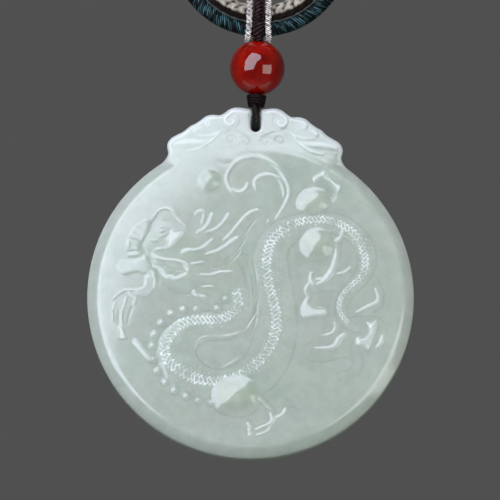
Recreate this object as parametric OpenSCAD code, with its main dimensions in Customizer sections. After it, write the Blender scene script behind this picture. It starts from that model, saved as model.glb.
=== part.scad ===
// A carved jade plaque hung on a corded necklace with one agate bead.
// +Z is up and the carved face looks along -Y. The origin lies on the nape of the neck,
// inside the top of the loop. The plaque's own drawings use x to the right, y up and
// height towards the viewer, and stand_up() turns them into the part's frame.

/* [Plaque] */
// Diameter of the round plaque
disc_d = 58.4; // [50:0.2:66]
// Thickness of the plaque, from its field to its back
disc_t = 6.4; // [5.6:0.1:9]
// Width of the bevel outside the ridge, on both faces
bevel_w = 1.9; // [1:0.1:3]
// Depth of the bevel
bevel_h = 1; // [0.5:0.1:1.4]
// Width of the rolled edge between the field and the bevel
roll_w = 1.3; // [0.8:0.1:2]
// Drop of the field over its rolled edge
roll_h = 0.15; // [0.05:0.05:0.4]
// Height of the dragon's body above the field
relief_h = 1.15; // [0.6:0.05:1.6]

/* [Cloud crest] */
// Width of the crest across its outer lobes
crest_w = 31.4; // [26:0.2:34]
// Rise of the crest above the top of the round plaque
crest_rise = 5.6; // [5:0.1:7]
// Thickness of the crest
crest_t = 5; // [4.4:0.1:5.2]
// Radius of the bar that the cord goes round
bar_r = 1.25; // [1:0.05:1.4]
// Height of the crest's top above the middle of that bar
bar_depth = 1.4; // [1.3:0.05:1.6]
// Space between the cord and the walls of its slot
slot_gap = 0.2; // [0.1:0.05:0.3]

/* [Agate bead] */
// Diameter of the bead
bead_d = 10; // [8:0.1:12]
// Diameter of the hole drilled through it
bead_bore = 2; // [1.8:0.1:2.4]

/* [Cords] */
// Diameter of the cord through the plaque
bail_d = 1.5; // [1.2:0.05:1.6]
// Space between a cord and the piece that it lies against
cord_gap = 0.1; // [0.1:0.05:0.2]
// Space between the plaque's crest and the knot, which lets the plaque swing
knot_gap = 0.5; // [0.4:0.05:0.8]
// Space between the bead and the neck cord over it
neck_gap = 0.85; // [0.8:0.05:1.2]
// Height of the wrapped knot between plaque and bead
knot_h = 2.15; // [1.6:0.05:3]
// Diameter of the knot at the plaque
knot_low_d = 2.9; // [2.4:0.1:3.2]
// Diameter of the knot at the bead
knot_high_d = 3.5; // [3:0.1:4]
// Diameter of the cord inside the bead
stem_d = 1.6; // [1.2:0.1:1.7]
// Diameter of the wrapped loop that holds the neck cords
column_d = 2; // [1.6:0.1:2.2]
// Diameter of each twisted strand beside the wrapped loop
strand_d = 1.2; // [0.8:0.1:1.4]
// Diameter of the thread-wrapped neck cord
neck_d = 2.5; // [2:0.1:2.8]
// Diameter of the braided neck cord
braid_d = 2.8; // [2.2:0.1:3]
// Drop of the neck cord's loop from the nape to its lowest point
loop_drop = 250; // [220:5:300]
// Width of the neck cord's loop
loop_w = 132; // [120:2:150]

/* [Hidden] */

jade = "#bfcbc4";
agate = "#8c0c02";
dark_brown = "#22140f";
teal = "#0a3a40";
cream = "#e8dcc4";

disc_r = disc_d / 2;
ridge_r = disc_r - bevel_w;
field_r = ridge_r - roll_w;
field_h = disc_t / 2;
crest_top = disc_r + crest_rise;
bar_z = crest_top - bar_depth;
bail_r = bar_r + cord_gap + bail_d / 2;
slot_w = bail_d + 2 * slot_gap;
// Depth of the slot below the bar's middle
slot_drop = bail_r + bail_d / 2 + slot_gap + cord_gap;
// Angle above level at which the bail cord ends under the knot
bail_end = 50;
bead_seat = 0.15;
bead_r = bead_d / 2;

// Right half of the neck cord's route, from its lowest point to the nape, rows of [share
// of half the loop's width, share of its drop]. The left half mirrors it.
neck_rows = [
    [0, 1], [0.114, 0.992], [0.198, 0.97], [0.229, 0.94], [0.238, 0.904], [0.28, 0.84],
    [0.356, 0.776], [0.447, 0.712], [0.542, 0.648], [0.636, 0.584], [0.727, 0.52],
    [0.811, 0.456], [0.888, 0.392], [0.95, 0.328], [0.991, 0.264], [1, 0.196],
    [0.947, 0.132], [0.818, 0.074], [0.621, 0.028], [0.371, -0.004], [0.127, -0.018]
];
neck_route = [for (r = neck_rows) [r[0] * loop_w / 2, -r[1] * loop_drop]];
// The braided cord lies inside it, with a small space between the two
cords_apart = 0.35;
cord_pitch = neck_d / 2 + cords_apart + braid_d / 2;
function mirrored(p) = [-p.x, p.y];
function inset(p, i, by) =
    let (n = len(p), before = i > 0 ? p[i - 1] : mirrored(p[1]),
         after = i < n - 1 ? p[i + 1] : mirrored(p[n - 1]), along = unit(after - before))
    p[i] + by * [-along.y, along.x];
braid_route = [for (i = [0:len(neck_route) - 1]) inset(neck_route, i, cord_pitch)];
neck_bottom = neck_route[0].y;
braid_bottom = braid_route[0].y;

// The bead hangs under the neck cord, the knot under the bead and the plaque under both
bead_mid = neck_bottom - neck_d / 2 - neck_gap - bead_r;
disc_z = bead_mid - bead_r - bead_seat - knot_h - knot_gap - crest_top;
knot_base = disc_z + crest_top + knot_gap;

// How finely the true curves are drawn
fine = 96;

module stand_up() {
    translate([0, 0, disc_z]) rotate([90, 0, 0]) children();
}

// The smooth curve through a list of points, with steps pieces between each two
function curve_point(a, b, c, d, t) =
    (2 * b + (c - a) * t + (2 * a - 5 * b + 4 * c - d) * t * t
     + (3 * b - a - 3 * c + d) * t * t * t) / 2;
function smooth(p, steps) = [
    for (i = [0:len(p) - 2]) for (k = [0:steps - 1])
        curve_point(p[max(i - 1, 0)], p[i], p[i + 1], p[min(i + 2, len(p) - 1)], k / steps),
    p[len(p) - 1]
];
function ring_next(p, i, by) = p[(i + by + len(p)) % len(p)];
function smooth_ring(p, steps) = [
    for (i = [0:len(p) - 1]) for (k = [0:steps - 1])
        curve_point(ring_next(p, i, -1), p[i], ring_next(p, i, 1), ring_next(p, i, 2), k / steps)
];
function unit(v) = v / norm(v);

// An arc from a to b that bulges to the left of the way by a share of the chord
function arc(a, b, bulge, steps) =
    let (chord = b - a, half = norm(chord) / 2, rise = abs(bulge) * 2 * half,
         r = (half * half + rise * rise) / (2 * rise), sweep = 2 * asin(half / r),
         side = bulge > 0 ? 1 : -1, left = unit([-chord.y, chord.x]) * side,
         mid = (a + b) / 2 + left * (rise - r), start = atan2(a.y - mid.y, a.x - mid.x))
    [for (i = [0:steps - 1]) mid + r * [cos(start - side * sweep * i / steps),
                                        sin(start - side * sweep * i / steps)]];

// Faces of a skin over rings of points, each with sides points
function skin_faces(rings, sides) = [
    for (i = [0:rings - 2]) for (j = [0:sides - 1])
        [i * sides + j, i * sides + (j + 1) % sides,
         (i + 1) * sides + (j + 1) % sides, (i + 1) * sides + j]
];
function end_faces(rings, sides) = [
    [for (j = [sides - 1:-1:0]) j], [for (j = [0:sides - 1]) (rings - 1) * sides + j]
];

// A raised line on a face: rows of [x, y, half width, height], its section half an
// ellipse whose foot lies sink below the face
function way(rows, i) = unit([for (k = [0:1])
    rows[min(i + 1, len(rows) - 1)][k] - rows[max(i - 1, 0)][k]]);
function arch(row, along, sink, parts) = [
    for (j = [0:parts]) let (a = 180 - 180 * j / parts)
        [row[0] - along.y * row[2] * cos(a), row[1] + along.x * row[2] * cos(a),
         (row[3] + sink) * sin(a) - sink]
];
module raised_line(rows, sink, parts) {
    points = [for (i = [0:len(rows) - 1]) each arch(rows[i], way(rows, i), sink, parts)];
    polyhedron(points, concat(skin_faces(len(rows), parts + 1),
                              end_faces(len(rows), parts + 1)), convexity = 6);
}

// The dragon is drawn on a sheet whose field has a radius of 144.5 units, with x to the
// right and y up from its middle. The sheet lies turned a little on the plaque.
sheet_r = 144.5;
sheet_turn = 1.7;
sheet_stretch = 1.02;
sheet_unit = field_r / sheet_r;
// Every raised form reaches a little below the face, each to its own depth, so that no
// two of their feet lie in one plane
line_sink = 0.2;
body_sink = 0.41;
dome_sink = 0.42;
bead_sink = 0.46;
sink_step = 0.004;
// Sides of a raised line's section, and of the wider body's
line_sides = 5;
body_sides = 8;
function on_face(x, y) = sheet_unit * [x * cos(sheet_turn) - y * sin(sheet_turn),
                                       sheet_stretch * (x * sin(sheet_turn) + y * cos(sheet_turn))];
function laid(rows, height) = [
    for (r = rows) let (p = on_face(r[0], r[1]))
        [p.x, p.y, r[2] * sheet_unit, r[3] * height]
];

// Rows of every table below: [x, y, half width in units, share of the relief's height]
body_rows = [
    [-17, 12, 9, 0.5], [-12, -1, 11, 0.8], [-17, -17, 12, 0.9], [-32, -27, 13, 1],
    [-50, -30, 14, 1], [-66, -36, 17, 1], [-75, -50, 19, 1], [-73, -66, 19, 1],
    [-60, -78, 18, 1], [-42, -83, 17, 1], [-20, -83, 17, 1], [2, -76, 19, 1],
    [16, -62, 21, 1], [23, -42, 21.5, 1], [24, -20, 21, 1], [21, 0, 20, 1],
    [18, 18, 18, 1], [18, 36, 16.5, 1], [25, 52, 15, 1], [38, 65, 13.5, 0.95],
    [56, 73, 12.5, 0.9], [76, 74, 11.5, 0.9], [95, 68, 10.5, 0.85], [108, 55, 10, 0.8],
    [113, 39, 9.5, 0.75], [112, 24, 8, 0.7], [102, 11, 7, 0.65], [91, -1, 6, 0.6],
    [88, -14, 5.5, 0.55], [95, -26, 5, 0.5], [107, -33, 3, 0.4]
];
head_lines = [
    [[-112, 44, 8, 0.4], [-96, 46, 17, 0.6], [-72, 50, 21, 0.7], [-46, 44, 12, 0.5], [-30, 34, 6, 0.4]],
    [[-80, 46, 6, 0.9], [-75, 56, 9.5, 1.15], [-70, 64, 6, 0.9]],
    [[-93, 58, 5, 0.8], [-88, 66, 7, 0.95], [-82, 72, 4, 0.8]],
    [[-104, 78, 4, 0.5], [-114, 70, 6, 0.7], [-121, 60, 6.5, 0.75], [-122, 49, 6, 0.7]],
    [[-123, 41, 4, 0.6], [-111, 42, 5, 0.7]],
    [[-132, 30, 5, 0.4], [-122, 28, 8.5, 0.6], [-108, 28, 8, 0.6], [-98, 24, 5, 0.5]],
    [[-100, 41, 2, 0.7], [-94, 37, 2.6, 0.9], [-81, 35, 2.6, 0.9], [-68, 32, 2.6, 0.85], [-60, 24, 2, 0.6]],
    [[-96, 28, 2.4, 0.7], [-88, 25, 2.6, 0.8], [-81, 18, 2.6, 0.8], [-74, 15, 2.6, 0.8], [-63, 20, 2, 0.6]],
    [[-92, 18, 3, 0.3], [-76, 8, 6, 0.45], [-54, 8, 6, 0.45], [-40, 14, 3, 0.3]]
];
whisker_lines = [
    [[26, 77, 1.6, 0.4], [30, 83, 1.8, 0.42], [36, 92, 2.2, 0.45], [38, 105, 2.2, 0.45],
     [33, 119, 2.2, 0.45], [25, 130, 2.2, 0.45], [13, 136, 2.2, 0.45], [3, 137, 2.2, 0.45],
     [-16, 132, 2.2, 0.42], [-24, 117, 2.2, 0.4], [-19, 106, 2.2, 0.4], [-11, 103, 2, 0.38],
     [-5, 106, 1.8, 0.35], [-3, 110, 1.4, 0.3]],
    [[34, 100, 1.4, 0.35], [30, 112, 1.8, 0.38], [22, 119, 2, 0.4], [12, 120, 2, 0.38],
     [6, 115, 1.8, 0.35], [6, 107, 1.4, 0.3]],
    [[-98, 76, 1.6, 0.3], [-93, 84, 2, 0.4], [-85, 87, 2, 0.4], [-78, 84, 2, 0.4],
     [-71, 78, 2, 0.4], [-64, 70, 1.8, 0.35]]
];
mane_lines = [
    [[-56, 81, 1.8, 0.35], [-50, 84, 2, 0.4], [-46, 80, 2, 0.4], [-49, 71, 1.8, 0.35]],
    [[-39, 80, 2.6, 0.5], [-42, 70, 2.6, 0.55], [-51, 63, 2, 0.45]],
    [[-22, 80, 2.4, 0.45], [-31, 68, 2.6, 0.5], [-45, 63, 2, 0.4]],
    [[8, 84, 1.8, 0.4], [-4, 78, 2.4, 0.5], [-15, 65, 2.6, 0.55], [-28, 53, 2.2, 0.5]],
    [[-14, 56, 2.2, 0.45], [-26, 46, 2.8, 0.55], [-43, 40, 2.2, 0.45]],
    [[-38, 55, 2, 0.5], [-50, 45, 2.6, 0.6], [-66, 43, 3.2, 0.7]],
    [[-19, 23, 2, 0.4], [-37, 22, 2.6, 0.5], [-50, 19, 2, 0.4]],
    [[-35, 9, 2, 0.4], [-44, 8, 2.4, 0.45]],
    [[-46, -2, 2.6, 0.4], [-56, 4, 2.6, 0.45]]
];
limb_lines = [
    [[-106, 23, 4, 0.5], [-99, 16, 5, 0.6], [-102, 5, 5.5, 0.6], [-108, 0, 5, 0.6],
     [-116, 3, 4.5, 0.6], [-124, 5, 5, 0.6], [-134, -1, 4, 0.4]],
    [[-137, -5, 3, 0.5], [-137, -23, 2.4, 0.4]],
    [[-126, -2, 3.5, 0.6], [-128, -21, 3, 0.55], [-127, -38, 3, 0.5]],
    [[-116, 0, 3.5, 0.6], [-121, -21, 2.6, 0.45]],
    [[-123, -57, 4, 0.4], [-114, -48, 5, 0.5], [-104, -54, 4.5, 0.45], [-95, -56, 4, 0.4]],
    [[4, -102, 4, 0.6], [14, -109, 3.5, 0.6], [22, -118, 3, 0.55]],
    [[22, -119, 2.4, 0.5], [34, -113, 2.4, 0.5], [45, -114, 1.6, 0.3]],
    [[22, -120, 3, 0.5], [10, -126, 4, 0.5], [-1, -127, 2.6, 0.45], [0, -138, 2, 0.4]],
    [[20, -121, 2.4, 0.5], [16, -131, 3, 0.5], [6, -137, 2, 0.4]],
    [[92, 62, 3, 0.6], [86, 52, 4.5, 0.7], [86, 40, 4, 0.7], [82, 26, 3.6, 0.65],
     [76, 15, 3.4, 0.6], [68, 11, 3.2, 0.6], [60, 18, 2.4, 0.5]],
    [[83, 18, 2, 0.45], [93, 22, 2.4, 0.5], [99, 27, 1.8, 0.4]],
    [[61, 116, 2.4, 0.5], [73, 122, 3, 0.6], [82, 114, 4, 0.65], [89, 107, 3.6, 0.6],
     [82, 92, 2.4, 0.45]]
];
cloud_lines = [
    [[55, 7, 2.6, 0.45], [56, -3, 3.6, 0.5], [54, -12, 4.6, 0.5], [56, -20, 5, 0.5],
     [65, -22, 4.4, 0.5], [74, -21, 3.4, 0.45]],
    [[60, -4, 2, 0.4], [70, 3, 2.2, 0.4], [84, 5, 2, 0.35]],
    [[84, -28, 1.8, 0.35], [83, -36, 2, 0.4], [75, -40, 2.2, 0.4], [63, -44, 2.2, 0.4],
     [56, -52, 2.6, 0.4], [62, -62, 3, 0.4], [76, -64, 3, 0.4], [92, -61, 2.8, 0.4],
     [101, -68, 2.4, 0.4], [90, -78, 2, 0.35], [89, -85, 1.6, 0.3]],
    [[92, -39, 2, 0.5], [88, -49, 2.8, 0.55], [80, -54, 2.8, 0.5], [65, -54, 1.8, 0.4]],
    [[124, 13, 1.8, 0.4], [127, 3, 2.4, 0.5], [124, -7, 2.4, 0.5], [108, -17, 2, 0.4]],
    [[130, -3, 1.8, 0.4], [131, -12, 2.4, 0.45], [124, -22, 2, 0.4]],
    [[124, -27, 5, 0.45], [119, -38, 6, 0.5], [112, -50, 5, 0.45]],
    [[132, -38, 2, 0.4], [129, -46, 3, 0.45], [124, -54, 2, 0.4]],
    [[100, -39, 3, 0.4], [103, -56, 3.4, 0.4], [110, -66, 2.8, 0.4], [109, -77, 2, 0.35]]
];
// Rows of [x, y, radius in units, share of the relief's height]
dome_rows = [
    [-42, 116, 11.5, 0.9], [62, 95, 16, 1.15], [66, 49, 18, 1.25], [-15, -98, 19, 1.25],
    [-131, -3, 4.5, 0.65], [-126, 2, 4.5, 0.7]
];
// Places of the pearls along the body's outer edge, rows of [x, y]
bead_rows = [
    [-25, -4], [-33, -13], [-53, -14], [-66, -14], [-78, -18], [-88, -27], [-95, -38],
    [-97, -50], [-97, -63], [-92, -74], [-84, -86], [-75, -94], [-64, -99], [-52, -103]
];
edge_bead_r = 4.5;
edge_bead_h = 0.45;

// A dome on a face: rows of [share of its radius, share of its height], foot to top
dome_section = [[1, 0], [0.86, 0.5], [0.5, 0.87], [0.16, 1]];
module dome(r, h, sink, sides) {
    points = [for (s = dome_section) for (j = [0:sides - 1]) let (a = -360 * j / sides)
        [r * s[0] * cos(a), r * s[0] * sin(a), (h + sink) * s[1] - sink]];
    polyhedron(points, concat(skin_faces(len(dome_section), sides),
                              end_faces(len(dome_section), sides)));
}

module dragon() {
    translate([0, 0, field_h]) {
        raised_line(laid(smooth(body_rows, 2), relief_h), body_sink, body_sides);
        lines = concat(head_lines, whisker_lines, mane_lines, limb_lines, cloud_lines);
        for (i = [0:len(lines) - 1])
            raised_line(laid(smooth(lines[i], 2), relief_h), line_sink + sink_step * i, line_sides);
        for (i = [0:len(dome_rows) - 1]) let (r = dome_rows[i], p = on_face(r[0], r[1]))
            translate([p.x, p.y, 0])
                dome(r[2] * sheet_unit, r[3] * relief_h, dome_sink + sink_step * i, 16);
        for (i = [0:len(bead_rows) - 1]) let (p = on_face(bead_rows[i][0], bead_rows[i][1]))
            translate([p.x, p.y, 0])
                dome(edge_bead_r * sheet_unit, edge_bead_h * relief_h, bead_sink + sink_step * i, 8);
    }
}

// Half of the crest's outline, rows of [share of half its width, share of its rise
// above the round plaque, bulge of the lobe that follows]
crest_rows = [
    [0, 0.964, 0.128], [0.408, 0.714, 0.16], [0.64, 0.464, 0.08], [0.822, 0.107, 0.24],
    [0.98, -0.625, -0.12], [1.06, -0.98, 0]
];
// Where the crest's foot ends inside the round plaque, as the same two shares
crest_foot = [0.6, -1.6];
crest_steps = 6;
function crest_at(x, y) = [x * crest_w / 2, disc_r + y * crest_rise];
crest_right = [
    for (i = [0:len(crest_rows) - 2])
        each arc(crest_at(crest_rows[i][0], crest_rows[i][1]),
                 crest_at(crest_rows[i + 1][0], crest_rows[i + 1][1]), crest_rows[i][2], crest_steps),
    crest_at(crest_rows[len(crest_rows) - 1][0], crest_rows[len(crest_rows) - 1][1]),
    crest_at(crest_foot.x, crest_foot.y)
];
crest_outline = concat(crest_right, [
    for (i = [len(crest_right) - 1:-1:1]) [-crest_right[i].x, crest_right[i].y]
]);
// Raised lines of the crest's right half, rows of [share of half its width, share of
// its rise, half width in mm, height in mm]
crest_lines = [
    [[0.1, 0.88, 0.3, 0.25], [0.226, 0.89, 0.35, 0.35], [0.32, 0.727, 0.35, 0.35],
     [0.353, 0.575, 0.35, 0.35], [0.34, 0.44, 0.35, 0.35], [0.285, 0.405, 0.33, 0.35],
     [0.262, 0.49, 0.3, 0.35], [0.28, 0.58, 0.25, 0.3]],
    [[0.50, 0.40, 0.25, 0.25], [0.53, 0.50, 0.3, 0.3], [0.58, 0.44, 0.3, 0.3],
     [0.57, 0.32, 0.25, 0.25]],
    [[0.37, 0.25, 0.25, 0.25], [0.46, 0.09, 0.35, 0.35], [0.585, 0, 0.4, 0.4],
     [0.7, 0, 0.3, 0.3]],
    [[0.435, 0, 0.25, 0.25], [0.55, -0.27, 0.35, 0.35], [0.69, -0.45, 0.35, 0.35],
     [0.85, -0.55, 0.25, 0.25]],
    [[0.56, -0.13, 0.5, 0.3], [0.74, -0.17, 0.8, 0.45], [0.9, -0.24, 0.5, 0.3]],
    [[0.62, 0.2, 0.4, 0.3], [0.72, 0.13, 0.6, 0.4], [0.8, 0.02, 0.4, 0.3]]
];
module crest() {
    translate([0, 0, -crest_t / 2]) linear_extrude(crest_t) polygon(crest_outline);
    for (side = [0, 1]) mirror([side, 0, 0]) translate([0, 0, crest_t / 2])
        for (i = [0:len(crest_lines) - 1])
            raised_line([for (r = smooth(crest_lines[i], 2))
                [crest_at(r[0], r[1]).x, crest_at(r[0], r[1]).y, r[2], r[3]]],
                line_sink + sink_step * i, line_sides);
}

// The slot goes straight through and out at the top, round the bar that the cord hangs
// on, with a round lower end
module slot() {
    translate([0, bar_z, 0]) difference() {
        translate([0, 0, -disc_t]) linear_extrude(2 * disc_t) {
            translate([0, slot_w / 2 - slot_drop]) circle(d = slot_w, $fn = 48);
            translate([-slot_w / 2, slot_w / 2 - slot_drop]) square([slot_w, 2 * slot_drop]);
        }
        rotate([0, 90, 0]) cylinder(h = 3 * slot_w, r = bar_r, center = true, $fn = fine);
    }
}

// Section of the round plaque, as [distance from its middle, height], from the middle of
// its back round the edge to the middle of the field. The edges are broken by edge_r.
edge_r = 0.3;
front_h = disc_t / 2;
disc_section = [
    [0, -front_h], [ridge_r - edge_r, -front_h], [ridge_r + edge_r, edge_r / 3 - front_h],
    [disc_r - edge_r, bevel_h - front_h], [disc_r, bevel_h + edge_r - front_h],
    [disc_r, front_h - bevel_h - edge_r], [disc_r - edge_r, front_h - bevel_h],
    [ridge_r + edge_r, front_h - roll_h - edge_r / 3], [ridge_r - edge_r, front_h - roll_h],
    [field_r, front_h], [0, front_h]
];
module jade_plaque() {
    color(jade) stand_up() difference() {
        union() {
            rotate_extrude($fn = 180) polygon(disc_section);
            crest();
            dragon();
        }
        slot();
    }
}

// The cord through the plaque is an open ring round the bar, its ends under the knot
module bail_cord() {
    color(dark_brown) stand_up() translate([0, bar_z, 0]) rotate([0, 90, 0])
        rotate([0, 0, 180 - bail_end])
            rotate_extrude(angle = 180 + 2 * bail_end, $fn = fine)
                translate([bail_r, 0]) circle(d = bail_d, $fn = 32);
}

module cone_knot() {
    color(dark_brown) translate([0, 0, knot_base])
        cylinder(h = knot_h, d1 = knot_low_d, d2 = knot_high_d, $fn = 48);
}

module agate_bead() {
    color(agate) translate([0, 0, bead_mid]) difference() {
        sphere(d = bead_d, $fn = fine);
        cylinder(h = 2 * bead_d, d = bead_bore, center = true, $fn = 48);
    }
}

module stem_cord() {
    color(dark_brown) translate([0, 0, knot_base + knot_h])
        cylinder(h = bead_seat + bead_d, d = stem_d, $fn = 32);
}

// A round cord of eight sides along a route, across being square to most of the route
function around(route, i, by, closed) =
    closed ? ring_next(route, i, by) : route[max(0, min(len(route) - 1, i + by))];
module tube(route, d, across, closed) {
    sides = 8;
    n = len(route);
    points = [
        for (i = [0:n - 1])
            let (along = unit(around(route, i, 1, closed) - around(route, i, -1, closed)),
                 up = unit(cross(along, across)), side = cross(up, along))
            for (j = [0:sides - 1]) let (a = 360 * (j + 0.5) / sides)
                route[i] + d / 2 * (cos(a) * up + sin(a) * side)
    ];
    last = (n - 1) * sides;
    seam = [for (j = [0:sides - 1]) [last + j, last + (j + 1) % sides, (j + 1) % sides, j]];
    polyhedron(points, concat(skin_faces(n, sides), closed ? seam : end_faces(n, sides)),
               convexity = 8);
}

// Both legs of a loop that hangs over the neck cords, in the plane x. Its legs lie at
// distance y before and behind and its top is lifted over the braided cord by lift. The
// end of a leg lies by foot = [distance before the bead's axis, height over its top].
function over_cords(x, spread, y, lift, foot) =
    let (leg = [[x + spread, foot.x, bead_mid + bead_r + foot.y],
                [x + spread / 2, y - 0.15, neck_bottom - 0.9],
                [x, y, neck_bottom + 0.4], [x, y, braid_bottom - 1]],
         top = [for (a = [0:30:180]) [x, y * cos(a), braid_bottom + lift + y * sin(a)]])
    concat(leg, top, [for (i = [len(leg) - 1:-1:0]) [leg[i].x, -leg[i].y, leg[i].z]]);

column_y = braid_d / 2 + cord_gap + column_d / 2;
column_foot = [1.6, 0.1];
module wrapped_loop() {
    color(dark_brown) tube(smooth(over_cords(0, 0, column_y, 0, column_foot), 2),
                           column_d, [1, 0, 0], false);
}

strand_x = column_d / 2 + cord_gap + strand_d / 2;
strand_y = braid_d / 2 + cord_gap + strand_d / 2;
strand_foot = [1.5, -0.15];
strand_spread = 0.2;
// The braided cord already rises where the strands cross it
strand_lift = 0.3;
module side_strand(side) {
    route = over_cords(side * strand_x, side * strand_spread, strand_y, strand_lift, strand_foot);
    color(cream) tube(smooth(route, 2), strand_d, [1, 0, 0], false);
}
module side_strand_left() side_strand(-1);
module side_strand_right() side_strand(1);

// A whole loop from the right half of its route, standing in the plane y = 0
function whole_loop(half) = concat(
    [for (p = half) [p[0], 0, p[1]]],
    [for (i = [len(half) - 1:-1:1]) [-half[i][0], 0, half[i][1]]]
);
module neck_cord() {
    color(teal) tube(smooth_ring(whole_loop(neck_route), 2), neck_d, [0, 1, 0], true);
}
module braided_cord() {
    color(cream) tube(smooth_ring(whole_loop(braid_route), 2), braid_d, [0, 1, 0], true);
}

jade_plaque();
bail_cord();
cone_knot();
agate_bead();
stem_cord();
wrapped_loop();
side_strand_left();
side_strand_right();
neck_cord();
braided_cord();
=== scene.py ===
import bpy
import numpy as np
from mathutils import Matrix


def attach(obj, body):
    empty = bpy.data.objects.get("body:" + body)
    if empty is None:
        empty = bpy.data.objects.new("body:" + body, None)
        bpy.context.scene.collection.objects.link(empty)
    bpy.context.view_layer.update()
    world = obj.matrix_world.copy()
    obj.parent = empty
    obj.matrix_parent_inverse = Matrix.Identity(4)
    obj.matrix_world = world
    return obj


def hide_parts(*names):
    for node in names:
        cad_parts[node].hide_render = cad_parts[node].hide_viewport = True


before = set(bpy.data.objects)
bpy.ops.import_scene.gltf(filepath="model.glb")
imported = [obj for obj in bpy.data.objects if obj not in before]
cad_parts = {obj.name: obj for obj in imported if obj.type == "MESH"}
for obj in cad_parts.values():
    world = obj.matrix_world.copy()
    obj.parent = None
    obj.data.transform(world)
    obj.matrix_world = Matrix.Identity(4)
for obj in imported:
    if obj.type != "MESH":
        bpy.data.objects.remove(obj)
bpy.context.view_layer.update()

mm = 0.001
print("frame loaded:", sorted(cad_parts))


# sRGB hex to linear: each channel to the power of its display curve
def colour(code):
    c = np.array([int(code[i:i + 2], 16) / 255 for i in (1, 3, 5)])
    c = np.where(c <= 0.04045, c / 12.92, ((c + 0.055) / 1.055) ** 2.4)
    return (*c.tolist(), 1.0)


# 0 below a, 1 above b, and 3t^2 - 2t^3 between them
def ease(a, b, x):
    t = np.clip((x - a) / (b - a), 0, 1)
    return t * t * (3 - 2 * t)


# The larger of a and b with the corner between them rounded over a width k:
# max(a, b) + (k - |a - b|)^2 / 4k where they are closer than k
def roundMax(a, b, k):
    return np.maximum(a, b) + np.maximum(k - np.abs(a - b), 0) ** 2 / (4 * k)


# The smaller of a and b, its corner rounded in the same way
def roundMin(a, b, k):
    return -roundMax(-a, -b, k)


# The smooth curve through a table's rows: a cubic through each two rows that leaves them
# along the chord of their neighbours (Catmull-Rom), for every column at once
def smoothRows(rows, steps, closed=False):
    p = np.asarray(rows, float)
    if closed:
        p4 = np.vstack([p[-1:], p, p[:2]])
    else:
        p4 = np.vstack([2 * p[:1] - p[1:2], p, 2 * p[-1:] - p[-2:-1]])
    a, b, c, d = (p4[i:len(p4) - 3 + i, None, :] for i in range(4))
    t = np.linspace(0, 1, steps, endpoint=False)[None, :, None]
    q = (2 * b + (c - a) * t + (2 * a - 5 * b + 4 * c - d) * t ** 2
         + (3 * b - a - 3 * c + d) * t ** 3) / 2
    q = q.reshape(-1, p.shape[1])
    return q if closed else np.vstack([q, p[-1:]])


# Quads between the rows of a grid of points: rows x columns, each way closed or open
def gridFaces(rows, columns, rowsClose=False, columnsClose=True):
    i = np.arange(rows if rowsClose else rows - 1)[:, None]
    j = np.arange(columns if columnsClose else columns - 1)[None, :]
    k, l = (i + 1) % rows, (j + 1) % columns
    quads = np.stack([i * columns + j, i * columns + l, k * columns + l, k * columns + j], -1)
    return quads.reshape(-1, 4)


# A tube's faces: the quads between its rows, and on an open one a face over each end
def tubeFaces(rows, columns, closed=False):
    faces, ring = gridFaces(rows, columns, closed).tolist(), np.arange(columns)
    if not closed:
        faces += [ring[::-1].tolist(), ((rows - 1) * columns + ring).tolist()]
    return faces


# Places at the corners of a tube's quads: the share of the way round it, and mm along it
def tubePlaces(way, columns, closed=False):
    i, j = np.divmod(np.arange((len(way) if closed else len(way) - 1) * columns), columns)
    ends = np.append(way, way[-1] + (way[1] - way[0]))
    share = np.stack([j, j + 1, j + 1, j], 1) / columns
    return np.stack([share, ends[np.stack([i, i, i + 1, i + 1], 1)]], -1)


# An object at the origin with a new mesh of these points, in m, and faces
def addObject(name, points, faces):
    mesh = bpy.data.meshes.new(name)
    mesh.from_pydata(np.asarray(points).tolist(), [], [list(f) for f in faces])
    thing = bpy.data.objects.new(name, mesh)
    bpy.context.scene.collection.objects.link(thing)
    return thing


# A piece of points in mm and faces, shaded smooth, with its body and material. Edges
# that turn by more than `sharp` degrees stay sharp.
def addPiece(name, points, faces, body, material, replaces, sharp=None):
    name = name.replace(" ", "_")
    piece = addObject(name, np.asarray(points) * mm, faces)
    mesh = piece.data
    mesh.validate()
    mesh.shade_smooth()
    if sharp:
        mesh.set_sharp_from_angle(angle=np.radians(sharp))
    mesh.materials.append(material)
    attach(piece, body)
    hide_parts(*replaces)
    print("piece", name, len(mesh.polygons), "faces")
    return piece


# One node with its settings and links: settings by input or property name, links from an
# input's name to another node, by its first output, or to one of its outputs
def node(tree, kind, settings=None, links=None):
    n = tree.nodes.new("ShaderNode" + kind)
    for key, value in (settings or {}).items():
        if isinstance(key, int) or key in n.inputs:
            n.inputs[key].default_value = value
        else:
            setattr(n, key, value)
    for key, source in (links or {}).items():
        output = source if isinstance(source, bpy.types.NodeSocket) else source.outputs[0]
        tree.links.new(output, n.inputs[key])
    return n


# A material without nodes, and its tree to put them in
def newMaterial(name):
    m = bpy.data.materials.new(name)
    m.use_nodes = True
    m.node_tree.nodes.clear()
    return m, m.node_tree


# Camera: below the plaque's middle and rolled a little, through a long lens
view = dict(elevation=-11.5, roll=1.7, distance=900, width=90, sensor=36,
            aim=(-0.35, 0, -290.8))


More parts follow.
